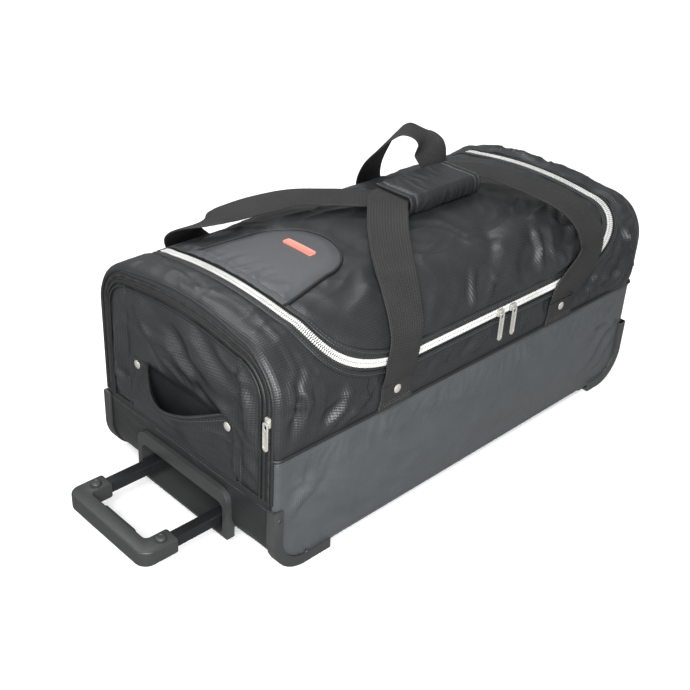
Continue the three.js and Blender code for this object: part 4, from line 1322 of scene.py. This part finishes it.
class DUFFEL_OT_end_flap(DuffelOperator, bpy.types.Operator):
    """End pocket flap, its zip between two pipings, and the grab handle"""

    bl_idname = "duffel.end_flap"
    bl_label = "End flap"

    def execute(self, context):
        self.flap()
        self.zip()
        self.grab()
        return {"FINISHED"}

    def flap(self):
        p, y, z, uv = end_grid(-HALF_LENGTH, (-142, 142, 116), (END_SEAM + 0.4, 273, 74))
        room = soft_step(-cross_distance(p) - 16, 0, 26) * soft_step(z - END_SEAM, 0, 16)
        creases = folds(uv, [
            (-84, 196, 10, 262, 12, 4.0), (-40, 186, 60, 250, 10, 3.2), (-92, 180, -30, 206, 8, 3.0),
            (20, 200, 90, 262, 12, 3.2), (-132, 150, -108, 232, 9, 3.4), (-136, 112, -112, 168, 7, 2.8),
            (128, 130, 110, 224, 9, 3.2), (-122, 190, -104, 250, 7, 2.4), (60, 110, 92, 150, 8, 2.4),
            (-90, 104, -104, 150, 6, 2.2), (0, 214, 70, 228, 6, 1.8), (104, 104, 130, 150, 7, 2.2)], 6.0)
        flanks = ripples(uv, 84, 90, 18, 2.4, 27.0) * soft_step(np.abs(y), 92, 110)
        waves = ripples(uv, 34, 100, 28, 3.0, 13.0) + flanks
        relief = sizes().end_bulge / MM * room + (waves * 0.9 + creases * 1.5) * room * sizes().wrinkle
        relief -= 1.6 * np.exp(-((np.abs(y) - 98) / 2.6) ** 2) * room
        behind = soft_step(100 - np.abs(y), 0, 20) * soft_step(182 - z, 0, 16)
        relief = relief * (1 - behind) + np.minimum(relief, -0.2) * behind
        p = raised(p, np.maximum(relief, -3.5))
        piece = panel("end_flap_fabric", p, uv, lambda q: cross_distance(q) + 15.9, 1.6, "fabric", 2.6)
        place_piece(piece, "end_flap", "fabric", "end_flap")
        for sign in (-1, 1):
            for n, offset in enumerate((0.0, 3.2) if sign < 0 else (0.0,)):
                z = np.linspace(END_SEAM + 4, 258, 90)
                line = np.stack([np.full(90, -HALF_LENGTH), np.full(90, sign * (101 + offset)), z], -1)
                line = onto_body(line, free=(1, 0, 0))
                up = body_normal(line)
                run = stitches(f"flap_stitches_{'left' if sign > 0 else 'right'}_{n}", line + up * 2.6, up)
                place_piece(run, "end_flap", "fabric")

    def zip(self):
        path, side, up = end_outline(-HALF_LENGTH, END_ZIP_MARGIN, END_SEAM + 1)
        tape = sweep("end_zip_band", path - up * 0.7, side, up, band_profile(13, 0.9, 8, 0.4), "tape")
        place_piece(tape, "bag", "tape", "end_zip_tape")
        path, side, up = end_outline(-HALF_LENGTH, END_ZIP_MARGIN, END_SEAM + 1, 0.9)
        wave = np.where(np.arange(len(path)) % 2 == 0, 1.0, 0.72)
        ring = round_profile(1.0, 8)[None] * np.stack([2.1 * wave, 1.3 * wave], -1)[:, None]
        coil = sweep("end_zip_coil", path + up * 0.3, side, up, ring, "tape")
        place_piece(coil, "bag", "tape")
        for name, inset, lift, body, radius in (("outer", 5.4, 0.8, "bag", 2.0),
                                                ("inner", 17.4, 0.8, "end_flap", 2.0),
                                                ("storm", 22.5, 2.2, "end_flap", 1.5)):
            path, _, _ = end_outline(-HALF_LENGTH, inset, END_SEAM + 1)
            bead(f"end_piping_{name}", path, lift, radius, body, "fabric")

    def grab(self):
        u, v = np.meshgrid(np.linspace(-1, 1, 97), np.linspace(0, 1, 34), indexing="ij")
        bulge = np.maximum(0, 1 - ((u + 0.06) / 0.76) ** 2) ** 1.3
        top = 177 - 19 * bulge
        z = 100 + (top - 100) * v
        x = -HALF_LENGTH - 0.4 - 31 * bulge * v ** 1.3
        y = u * 96
        uv = np.stack([y, z], -1)
        ridge = folds(uv, [
            (70, 168, 96, 120, 6, 2.0), (48, 128, 88, 108, 7, 1.6), (-70, 120, -40, 108, 7, 1.4),
            (20, 112, 60, 128, 6, 1.2)], 3.0)
        slack = ripples(uv, 8, 110, 15, 2.4, 3.0) * soft_step(96 - np.abs(y), 0, 14)
        outer = np.stack([x - 2.5 - np.maximum(ridge + slack, -0.9) * soft_step(v, 0.0, 0.2), y, z], -1)
        inner = np.stack([x - 0.1, y, z], -1)
        piece = thick_shell("grab_handle_fabric", outer, inner, uv)
        place_piece(piece, "end_flap", "fabric", "end_grab_handle")
        edge = outer[:, -1] + np.array([1.2, 0, 0.3])
        way = tangents(edge)
        out = np.tile([-1.0, 0, 0.25], (len(edge), 1))
        up = unit(out - way * (out * way).sum(1, keepdims=True))
        side = unit(np.cross(up, way))
        binding = sweep("grab_binding", edge, side, up, round_profile(2.3), "piping")
        place_piece(binding, "end_flap", "fabric")
        row = outer[:, -4]
        way = tangents(row)
        up = unit(out - way * (out * way).sum(1, keepdims=True))
        run = stitches("grab_stitches", row, up)
        place_piece(run, "end_flap", "fabric")


class DUFFEL_OT_straps(DuffelOperator, bpy.types.Operator):
    """Webbing tabs, both carry handles and the padded wrap"""

    bl_idname = "duffel.straps"
    bl_label = "Straps and wrap"

    def execute(self, context):
        for side, x in TABS:
            for end, sign in ENDS:
                self.tab(side, end, x, sign)
        self.handle("front_handle", FRONT_ROUTE, -1, 2.0)
        self.handle("rear_handle", REAR_ROUTE, 1, 9.0)
        self.wrap()
        return {"FINISHED"}

    def handle(self, name, route, sign, seed):
        fine = catmull([r[:3] for r in route], 420)
        faces = catmull([r[3:] for r in route], 420)
        path = paced(fine, 3.0)
        nearest = [int(np.argmin(((fine - q) ** 2).sum(1))) for q in path]
        way = tangents(path)
        across = unit(np.cross(faces[nearest], way))
        up = unit(np.cross(across, way))
        toward = unit(faces[nearest])
        up = up * np.sign((up * -toward).sum(1, keepdims=True))
        width = sizes().strap_width / MM
        profile = band_profile(width, sizes().strap_thickness / MM, 18)
        length = np.concatenate([[0], np.cumsum(np.linalg.norm(np.diff(path, axis=0), axis=1))])

        def lift(s, a):
            ends = soft_step(s, 4, 40) * soft_step(length[-1] - s, 4, 40)
            under = soft_step(np.abs(np.interp(s, length, path[:, 0]) - 66), 60, 90)
            u = a / width * 2
            slow = np.stack([s / 60 + 0 * a, a / 70 + seed + 0 * s], -1)
            wave = hum(slow, 1.0, seed) * 1.3
            cup = (u ** 2 - 0.4) * (0.9 * np.sin(s / 47 + seed) + 0.5)
            return (wave + cup) * ends * under

        piece = sweep(f"{name}_strap", path, across, up, profile, "webbing", lift=lift)
        place_piece(piece, name, "webbing", name)

    def tab(self, side, end, x, sign):
        y = sign * (HALF_WIDTH + 1.6)
        z = np.linspace(SIDE_SEAM - 1.5, 186.6, 16)
        path = np.stack([np.full(16, float(x)), np.full(16, y), z], -1)
        spread = 1 + 0.14 * (1 - soft_step(z, 157, 172))
        base = band_profile(sizes().strap_width / MM, sizes().strap_thickness / MM, 14)
        profile = base[None] * np.stack([spread, np.ones(16)], -1)[:, None]
        across = np.tile([1.0, 0, 0], (16, 1))
        up = np.tile([0.0, sign, 0], (16, 1))
        name = f"strap_tab_{side}_{end}"
        piece = sweep(name, path, across, up, profile, "webbing")
        place_piece(piece, "bag", "webbing", name)
        lines = [((x - 19, 162), (x + 19, 162)), ((x - 21, 165), (x + 21, 165))]
        for n, (a, b) in enumerate(lines):
            run = np.array([(a[0] + (b[0] - a[0]) * k, y + sign * 1.25, a[1]) for k in np.linspace(0, 1, 20)])
            piece = stitches(f"{name}_stitches_{n}", run, np.tile([0.0, sign, 0], (20, 1)))
            place_piece(piece, "bag", "webbing")

    def wrap(self):
        """A padded sleeve rolled round both straps, closed at the front and open behind."""
        y0, y1, z0, z1 = -24.0, 37.0, 296.0, 320.5
        r = 6.0
        low = [(y, z0 + 0.8) for y in np.linspace(y1, y0 + r, 26)]
        bend = [(y0 + r - r * math.sin(a), z0 + 0.8 + (z1 - z0 - 1.6) / 2 * (1 - math.cos(a)))
                for a in np.linspace(0.15, math.pi - 0.15, 16)]
        high = [(y, z1 - 0.8) for y in np.linspace(y0 + r, y1, 26)]
        line = np.array(low + bend + high)
        count = len(line)
        x = np.linspace(2, 130, 60)
        grid_x, k = np.meshgrid(x, np.arange(count), indexing="ij")
        y, z = line[:, 0][k], line[:, 1][k]
        centre = np.array([8.0, 308.0])
        out = unit(np.stack([y - centre[0], (z - centre[1]) * 3], -1))
        arc = np.concatenate([[0], np.cumsum(np.linalg.norm(np.diff(line, axis=0), axis=1))])[k]
        uv = np.stack([grid_x, arc], -1)
        across = (grid_x - 66) / 64
        puff = 1.6 * (1 - across ** 6) + ripples(uv, 84, 60, 13, 1.5, 6.0) * (1 - across ** 4)
        puff += hum(uv, 24, 3.0) * 0.6
        puff -= 1.8 * np.exp(-((np.abs(across) - 0.86) / 0.03) ** 2)
        outer = np.stack([grid_x, y + out[..., 0] * puff, z + out[..., 1] * puff], -1)
        inner = np.stack([grid_x, y - out[..., 0] * 1.6, z - out[..., 1] * 1.4], -1)
        piece = thick_shell("padded_wrap", outer, inner, uv)
        place_piece(piece, "front_handle", "fabric", "handle_wrap")
        for name, at in (("left", 0), ("right", -1)):
            edge = (outer[at] + inner[at]) / 2
            way = tangents(edge)
            side = np.tile([1.0, 0, 0], (len(edge), 1))
            up = unit(np.cross(way, side))
            binding = sweep(f"wrap_binding_{name}", edge, side, up, round_profile(2.2), "piping")
            place_piece(binding, "front_handle", "fabric")


class DUFFEL_OT_fasteners(DuffelOperator, bpy.types.Operator):
    """Rivets, zip sliders and their pulls"""

    bl_idname = "duffel.fasteners"
    bl_label = "Rivets and zip pulls"

    def execute(self, context):
        strap_face = HALF_WIDTH + GAP + SKIN + RIVET_STANDOFF
        for side, x in TABS:
            for end, sign in ENDS:
                place = (x, sign * strap_face, RIVET_Z)
                self.rivet(f"strap_rivet_{side}_{end}", place, (0, sign, 0), "bag", 10.5)
        for end, sign in ENDS:
            face = HALF_LENGTH + 0.4 + 2.5 + 0.3 + 1.6
            self.rivet(f"end_rivet_{end}", (-face, sign * 82, 165), (-1, 0, 0), "end_flap", 9.0)
        for side, x in (("left", 23.0), ("right", 47.0)):
            self.slider(f"zip_slider_{side}", Vector((x, -158.6, 213)), "front", f"slider_{side}", 6.0)
            self.pull(f"zip_pull_{side}", Vector((x, -162.6, 213)), "front", f"pull_{side}", 37.0)
        self.slider("end_zip_slider", Vector((-330.6, -146, 203)), "end", "end_slider", 6.0)
        self.pull("end_zip_pull", Vector((-334.6, -146, 203)), "end", "end_pull", 34.0)
        return {"FINISHED"}

    def rivet(self, name, centre, axis, body, length):
        profile = [(0, 0.25), (1.6, 0.2), (3.2, 0.0), (4.6, -0.45), (5.4, -1.0), (5.5, -1.35), (5.3, -1.6),
                   (2.0, -1.6), (2.0, -length + 1.2), (5.0, -length + 1.2), (5.0, -length), (0, -length)]
        piece = turned(name, profile, centre, axis, 40)
        smooth(piece, 35)
        place_piece(piece, body, "metal", name, finish="metal")

    def settle(self, piece, place, facing):
        """Moves a piece made flat, with its outer face up, onto the front or the end of the bag."""
        if facing == "front":
            turn = Matrix(((1, 0, 0, 0), (0, 0, -1, 0), (0, 1, 0, 0), (0, 0, 0, 1)))
        else:
            turn = Matrix(((0, 0, -1, 0), (-1, 0, 0, 0), (0, 1, 0, 0), (0, 0, 0, 1)))
        piece.data.transform(Matrix.Translation(place * MM) @ turn)
        piece.data.update()

    def slider(self, name, place, facing, body, half):
        wide = 4.5 if facing == "front" else 4.2
        long_x, long_y = (half, wide) if facing == "front" else (wide, half)
        piece = block(name, -long_x, long_x, -long_y, long_y, 0, 2.3)
        round_edges(piece, lambda e: along(e, 2), 2.4, 6)
        pick(piece, "FACE", lambda f: f.normal.z > 0.9)
        bpy.ops.mesh.inset(thickness=1.0 * MM)
        bpy.ops.mesh.extrude_region_move(TRANSFORM_OT_translate={"value": (0, 0, 0.35 * MM)})
        bpy.ops.object.mode_set(mode="OBJECT")
        soften(piece, 0.35, 2)
        boss_outline = [(0, 2.2), (0, 3.25), (1.6, 3.15), (2.7, 2.8), (3.0, 2.2)]
        boss = turned("boss", boss_outline, (0, 0, 0), (0, 0, 1), 28)
        fuse(piece, boss)
        self.settle(piece, place, facing)
        smooth(piece, 35)
        place_piece(piece, body, "metal", name, finish="metal")

    def pull(self, name, place, facing, body, length):
        half = 4.0 if facing == "front" else 3.9
        piece = block(name, -half, half, -length, 0.8, 0, 1.5)
        round_edges(piece, lambda e: along(e, 2) and middle(e).y < -5, half * 0.96, 10)
        round_edges(piece, lambda e: along(e, 2) and middle(e).y > -1, 2.2, 6)
        slot_cut = block("slot", -half * 0.5, half * 0.5, -7.5, -1.6, -2, 4)
        round_edges(slot_cut, lambda e: along(e, 2), 1.6, 5)
        carve(piece, slot_cut)
        panel_cut = block("recess", -half + 1.5, half - 1.5, -length + 4, -11, 1.2, 4)
        round_edges(panel_cut, lambda e: along(e, 2), 1.6, 5)
        carve(piece, panel_cut)
        soften(piece, 0.3, 2)
        self.settle(piece, place, facing)
        smooth(piece, 35)
        place_piece(piece, body, "metal", name, finish="metal")


class DUFFEL_OT_trolley(DuffelOperator, bpy.types.Operator):
    """Bezel, sliding tubes, grip and trigger of the trolley handle"""

    bl_idname = "duffel.trolley"
    bl_label = "Trolley handle"

    def execute(self, context):
        self.bezel()
        for end, sign in ENDS:
            self.tube(end, sign)
        self.grip()
        self.trigger()
        return {"FINISHED"}

    def bezel(self):
        plate = block("trolley_bezel_frame", BEZEL_FACE, -326, -85, 85, 12.5, 77)
        round_edges(plate, lambda e: along(e, 0) and middle(e).z > 50, 16, 12)
        cup = block("cup", -331, CUP_BACK + 3, -79.5, 79.5, 12.5, 62)
        round_edges(cup, lambda e: along(e, 0), 12 * 0.98, 8)
        fuse(plate, cup)
        opening = block("opening", BEZEL_FACE - 6, CUP_BACK, -76.5, 76.5, 15.5, 59)
        round_edges(opening, lambda e: along(e, 0), 9, 8)
        carve(plate, opening)
        for sign in (-1, 1):
            hole = block("hole", CUP_BACK - 3, CUP_BACK + 8, sign * RAIL_Y - 7.9, sign * RAIL_Y + 7.9,
                         RAIL_Z - 7.4, RAIL_Z + 7.4)
            carve(plate, hole)
        soften(plate, 2.2, 3, 50)
        smooth(plate, 40)
        place_piece(plate, "bag", "plastic", "trolley_bezel", finish="plastic")
        for sign in (-1, 1):
            collar = block(f"tube_guide_{'front' if sign < 0 else 'rear'}", CUP_BACK - 1.8, CUP_BACK,
                           sign * RAIL_Y - 11.2, sign * RAIL_Y + 11.2, RAIL_Z - 10.6, RAIL_Z + 10.6)
            round_edges(collar, lambda e: along(e, 0), 3, 4)
            hole = block("hole", CUP_BACK - 9, CUP_BACK + 4, sign * RAIL_Y - 8.1, sign * RAIL_Y + 8.1,
                         RAIL_Z - 7.6, RAIL_Z + 7.6)
            carve(collar, hole)
            soften(collar, 0.6, 2)
            smooth(collar, 35)
            place_piece(collar, "bag", "hub", finish="hub")

    def tube(self, end, sign):
        low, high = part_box(f"inner_tube_{end}")
        low, high = low / MM, high / MM
        piece = block(f"sliding_tube_{end}", low.x, high.x, low.y, high.y, low.z, high.z)
        round_edges(piece, lambda e: along(e, 0), 2.2, 5)
        bore = block("bore", low.x - 2, high.x + 2, low.y + 1.4, high.y - 1.4, low.z + 1.4, high.z - 1.4)
        carve(piece, bore)
        for face in (-1, 1):
            groove_y = (low.y + high.y) / 2 + face * 8.1
            groove = block("groove", low.x - 2, high.x + 2, groove_y - 0.9, groove_y + 0.9, 27.5, 36.5)
            carve(piece, groove)
        soften(piece, 0.3, 1)
        smooth(piece, 30)
        place_piece(piece, "trolley", "rail", f"inner_tube_{end}", finish="rail")

    def grip(self):
        piece = block("trolley_grip_bar", GRIP_OUTER, GRIP_INNER, -GRIP_HALF, GRIP_HALF, 22, 42)
        for y in (-52, 52):
            cut_through(piece, (0, y, 0), (0, 1, 0))
        pick(piece, "FACE", lambda f: f.normal.x > 0.9 and abs(f.calc_center_median().y) > 0.053)
        bpy.ops.mesh.extrude_region_move(TRANSFORM_OT_translate={"value": (28 * MM, 0, 0)})
        bpy.ops.mesh.select_all(action="SELECT")
        bpy.ops.mesh.dissolve_limited(angle_limit=math.radians(1))
        bpy.ops.mesh.normals_make_consistent(inside=False)
        bpy.ops.object.mode_set(mode="OBJECT")
        round_edges(piece, lambda e: along(e, 2) and middle(e).x < GRIP_OUTER + 1, 15.5, 12)
        round_edges(piece, lambda e: along(e, 2) and abs(abs(middle(e).y) - 52) < 0.5
                    and middle(e).x < GRIP_INNER + 1, 5.5, 5)
        round_edges(piece, lambda e: along(e, 2) and middle(e).x > GRIP_INNER + 20, 3.4, 5)
        soften(piece, 2.2, 4, 60)
        for sign in (-1, 1):
            socket = block("socket", GRIP_INNER + 3, GRIP_INNER + 40,
                           sign * RAIL_Y - 7.9, sign * RAIL_Y + 7.9, RAIL_Z - 7.4, RAIL_Z + 7.4)
            carve(piece, socket)
            lug_outline = [(0, -6), (6.6, -6), (6.6, 2.2), (6.0, 3.4), (4.9, 4.0), (3.4, 4.0),
                           (2.8, 3.4), (0, 3.4)]
            lug = turned("lug", lug_outline, (GRIP_INNER + 12, sign * RAIL_Y, 42), (0, 0, 1), 36)
            fuse(piece, lug)
        slot_cut = block("trigger_slot", GRIP_INNER - 7, GRIP_INNER + 4, -31, 31, 25.4, 38.6)
        round_edges(slot_cut, lambda e: along(e, 0), 4.4, 5)
        carve(piece, slot_cut)
        for n in range(9):
            x = GRIP_INNER - 10
            rib = block("rib", GRIP_OUTER - 3, x, -28 + 7 * n - 0.5, -28 + 7 * n + 0.5, 10, 22.7)
            carve(piece, rib)
        smooth(piece, 38)
        place_piece(piece, "trolley", "plastic", "trolley_grip", finish="plastic")

    def trigger(self):
        x0, x1 = GRIP_INNER - 2.5, GRIP_INNER + 3.5
        piece = block("grip_trigger_plate", x0, x1, -30, 30, 26, 38)
        round_edges(piece, lambda e: along(e, 0), 4, 6)
        soften(piece, 0.8, 3, 50)
        for n in range(7):
            groove = block("groove", x1 - 0.6, x1 + 2, -18 + 6 * n - 0.7, -18 + 6 * n + 0.7, 28, 36)
            carve(piece, groove)
        bar = block("bar", x0 - 0.5, x0 + 1.0, -RAIL_Y - 3.5, RAIL_Y + 3.5, RAIL_Z - 2.2, RAIL_Z + 2.2)
        fuse(piece, bar)
        smooth(piece, 35)
        place_piece(piece, "trigger", "hub", "grip_trigger", finish="hub")


class DUFFEL_OT_corners(DuffelOperator, bpy.types.Operator):
    """Corner guards at the handle end and wheel housings at the other"""

    bl_idname = "duffel.corners"
    bl_label = "Corner guards and housings"

    def execute(self, context):
        for end, sign in ENDS:
            self.guard(end, sign)
            self.housing(end, sign)
        return {"FINISHED"}

    def band(self, name, outer, inner, y0, y1, sign):
        """A band between two outlines of the body, seen from the front, between two places across."""
        x_low, x_high = (-HALF_LENGTH - outer, -100) if sign < 0 else (100, HALF_LENGTH + outer)
        piece = block(name, x_low, x_high, y0, y1, BOTTOM - outer, 300)
        at_corner = (lambda e: along(e, 1) and middle(e).z < 90 and abs(middle(e).x) > 200)
        round_edges(piece, at_corner, BASE_RADIUS + outer, 20)
        x_low, x_high = (-HALF_LENGTH - inner, -50) if sign < 0 else (50, HALF_LENGTH + inner)
        inside = block("inside", x_low, x_high, y0 - 5, y1 + 5, BOTTOM - inner, 400)
        round_edges(inside, at_corner, BASE_RADIUS + inner, 20)
        carve(piece, inside)
        return piece

    def limit(self, piece, x0, x1, top):
        """Cuts a piece off outside two places along the bag and above a height."""
        for place, way in (((x0, 0, 0), (1, 0, 0)), ((x1, 0, 0), (-1, 0, 0)), ((0, 0, top), (0, 0, -1))):
            cut_through(piece, place, way, use_fill=True, clear_inner=True)

    def guard(self, end, sign):
        y = [sign * v for v in (157.4, 160.2)]
        flange = self.band(f"corner_guard_{end}", 3, -10, min(y), max(y), -1)
        y = [sign * v for v in (147.4, 158.6)]
        strip = self.band("strip", 3, 0.4, min(y), max(y), -1)
        fuse(flange, strip)
        self.limit(flange, -400, -247, 92)
        soften(flange, 1.1, 3, 40)
        smooth(flange, 38)
        place_piece(flange, "bag", "plastic", f"corner_guard_{end}", finish="plastic")
        for z, x in ((80, -325), (14, -283)):
            outline = [(0, 0.4), (0.8, 0.4), (0.9, 0.9), (2.4, 0.7), (3.0, 0.1), (3.0, -1.4), (0, -1.4)]
            screw = turned(f"guard_screw_{end}_{z}", outline, (x, sign * 160.1, z), (0, sign, 0), 24)
            smooth(screw, 35)
            place_piece(screw, "bag", "metal", finish="hub")

    def housing(self, end, sign):
        name = f"wheel_housing_{end}"
        y = sorted(sign * v for v in (108.0, 153.3))
        piece = self.band("shell", 0, -60, y[0], y[1], 1)
        y = sorted(sign * v for v in (108.0, 158.6))
        strip = self.band("strip", 3, -1, y[0], y[1], 1)
        self.limit(strip, 263, 400, 93)
        flange_y = sorted(sign * v for v in (157.4, 160.2))
        flange = self.band("flange", 3, -10, flange_y[0], flange_y[1], 1)
        self.limit(flange, 263, 400, 93)
        piece.name = name + "_shell"
        y = sorted(sign * v for v in (108.2, 153.1))
        box_fill = block("fill", 252, 326, y[0], y[1], 40, 92.8)
        fuse(piece, box_fill)
        fuse(piece, strip)
        fuse(piece, flange)
        self.limit(piece, 250, 400, 93)
        centre = (WHEEL_X, sign * WHEEL_Y, WHEEL_RADIUS)
        arch = turned("arch", [(0, -16), (42, -16), (42, 16), (0, 16)], centre, (0, 1, 0), 72)
        carve(piece, arch)
        bore = turned("bore", [(0, -22), (3.4, -22), (3.4, 20.2), (0, 20.2)], centre, (0, 1, 0), 24)
        carve(piece, bore)
        soften(piece, 1.0, 2, 40)
        smooth(piece, 38)
        place_piece(piece, "bag", "plastic", name, finish="plastic")


class DUFFEL_OT_wheels(DuffelOperator, bpy.types.Operator):
    """Tyres and hubs"""

    bl_idname = "duffel.wheels"
    bl_label = "Wheels"

    def execute(self, context):
        for end, sign in ENDS:
            centre = (WHEEL_X, sign * WHEEL_Y, WHEEL_RADIUS)
            tyre = turned(f"tyre_ring_{end}", [
                (27, -11), (30, -11.6), (34, -12), (36.6, -10.2), (37.8, -7), (38, -4.2), (37.2, -3.6),
                (37.2, -2.6), (38, -2), (38, 2), (37.2, 2.6), (37.2, 3.6), (38, 4.2), (37.8, 7),
                (36.6, 10.2), (34, 12), (30, 11.6), (27, 11)], centre, (0, 1, 0), 72)
            smooth(tyre, 40)
            place_piece(tyre, f"wheel_{end}", "tyre", f"tyre_{end}", finish="tyre")
            hub = turned(f"hub_{end}", [
                (3.4, -13), (7.4, -13), (8.2, -12.2), (9, -4.4), (20.6, -4), (23.2, -9.4), (26.6, -10),
                (26.6, 10), (23.2, 9.4), (20.6, 4), (9, 4.4), (8.2, 12.2), (7.4, 13), (3.4, 13)],
                centre, (0, 1, 0), 60)
            for n in range(6):
                angle = math.radians(60 * n)
                x, z = WHEEL_X + 15.2 * math.cos(angle), WHEEL_RADIUS + 15.2 * math.sin(angle)
                spot = (x, sign * WHEEL_Y, z)
                hole = turned("hole", [(0, -9), (4.4, -9), (4.4, 9), (0, 9)], spot, (0, 1, 0), 24)
                carve(hub, hole)
            soften(hub, 0.5, 2, 40)
            smooth(hub, 35)
            place_piece(hub, f"wheel_{end}", "hub", f"wheel_hub_{end}", finish="hub")
        return {"FINISHED"}


class DUFFEL_OT_base(DuffelOperator, bpy.types.Operator):
    """Feet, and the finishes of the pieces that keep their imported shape"""

    bl_idname = "duffel.base"
    bl_label = "Base and hidden pieces"

    def execute(self, context):
        for end, sign in ENDS:
            foot = turned(f"rubber_foot_{end}", [
                (0, 0), (9.4, 0), (11.4, 0.5), (12, 1.4), (12, 3.6), (4.4, 3.6), (3.8, 3.2), (0, 3.2)],
                (-258, sign * 118, 0), (0, 0, 1), 40)
            smooth(foot, 35)
            place_piece(foot, "bag", "tyre", f"foot_{end}", finish="tyre")
        kept = {"base_tray": "tray", "base_board": "board", "end_pocket_wall": "board", "tube_anchor": "tray"}
        for end in ("front", "rear"):
            kept.update({f"{node}_{end}": "steel" for node in ("outer_tube", "release_rod", "wheel_axle")})
            kept.update({f"{node}_{end}": "hub" for node in ("tube_collar", "tube_glide")})
        for node, finish in kept.items():
            piece = bpy.data.objects[node]
            piece.data.materials.clear()
            piece.data.materials.append(FINISHES[finish])
        return {"FINISHED"}


class DUFFEL_PT_panel(bpy.types.Panel):
    """Sidebar panel with the bag's settings and operators"""

    bl_idname = "DUFFEL_PT_panel"
    bl_label = "Rolling duffel bag"
    bl_space_type = "VIEW_3D"
    bl_region_type = "UI"
    bl_category = "Duffel"

    def draw(self, context):
        layout = self.layout
        for group in (context.scene.duffel_sizes, context.scene.duffel_colours):
            box = layout.box()
            for name in group.__annotations__:
                box.prop(group, name)
        for operator in OPERATORS:
            layout.operator(operator.bl_idname)


OPERATORS = (
    DUFFEL_OT_stage, DUFFEL_OT_lower_panels, DUFFEL_OT_upper_shell, DUFFEL_OT_lid, DUFFEL_OT_main_zip,
    DUFFEL_OT_end_flap, DUFFEL_OT_straps, DUFFEL_OT_fasteners, DUFFEL_OT_trolley, DUFFEL_OT_corners,
    DUFFEL_OT_wheels, DUFFEL_OT_base,
)
CLASSES = (DuffelSizes, DuffelColours) + OPERATORS + (DUFFEL_PT_panel,)


def register():
    for item in CLASSES:
        bpy.utils.register_class(item)
    bpy.types.Scene.duffel_sizes = bpy.props.PointerProperty(type=DuffelSizes)
    bpy.types.Scene.duffel_colours = bpy.props.PointerProperty(type=DuffelColours)


def unregister():
    del bpy.types.Scene.duffel_colours
    del bpy.types.Scene.duffel_sizes
    for item in reversed(CLASSES):
        bpy.utils.unregister_class(item)


def main():
    register()
    make_finishes()
    for operator in OPERATORS:
        group, name = operator.bl_idname.split(".")
        getattr(getattr(bpy.ops, group), name)()


if __name__ == "__main__":
    main()
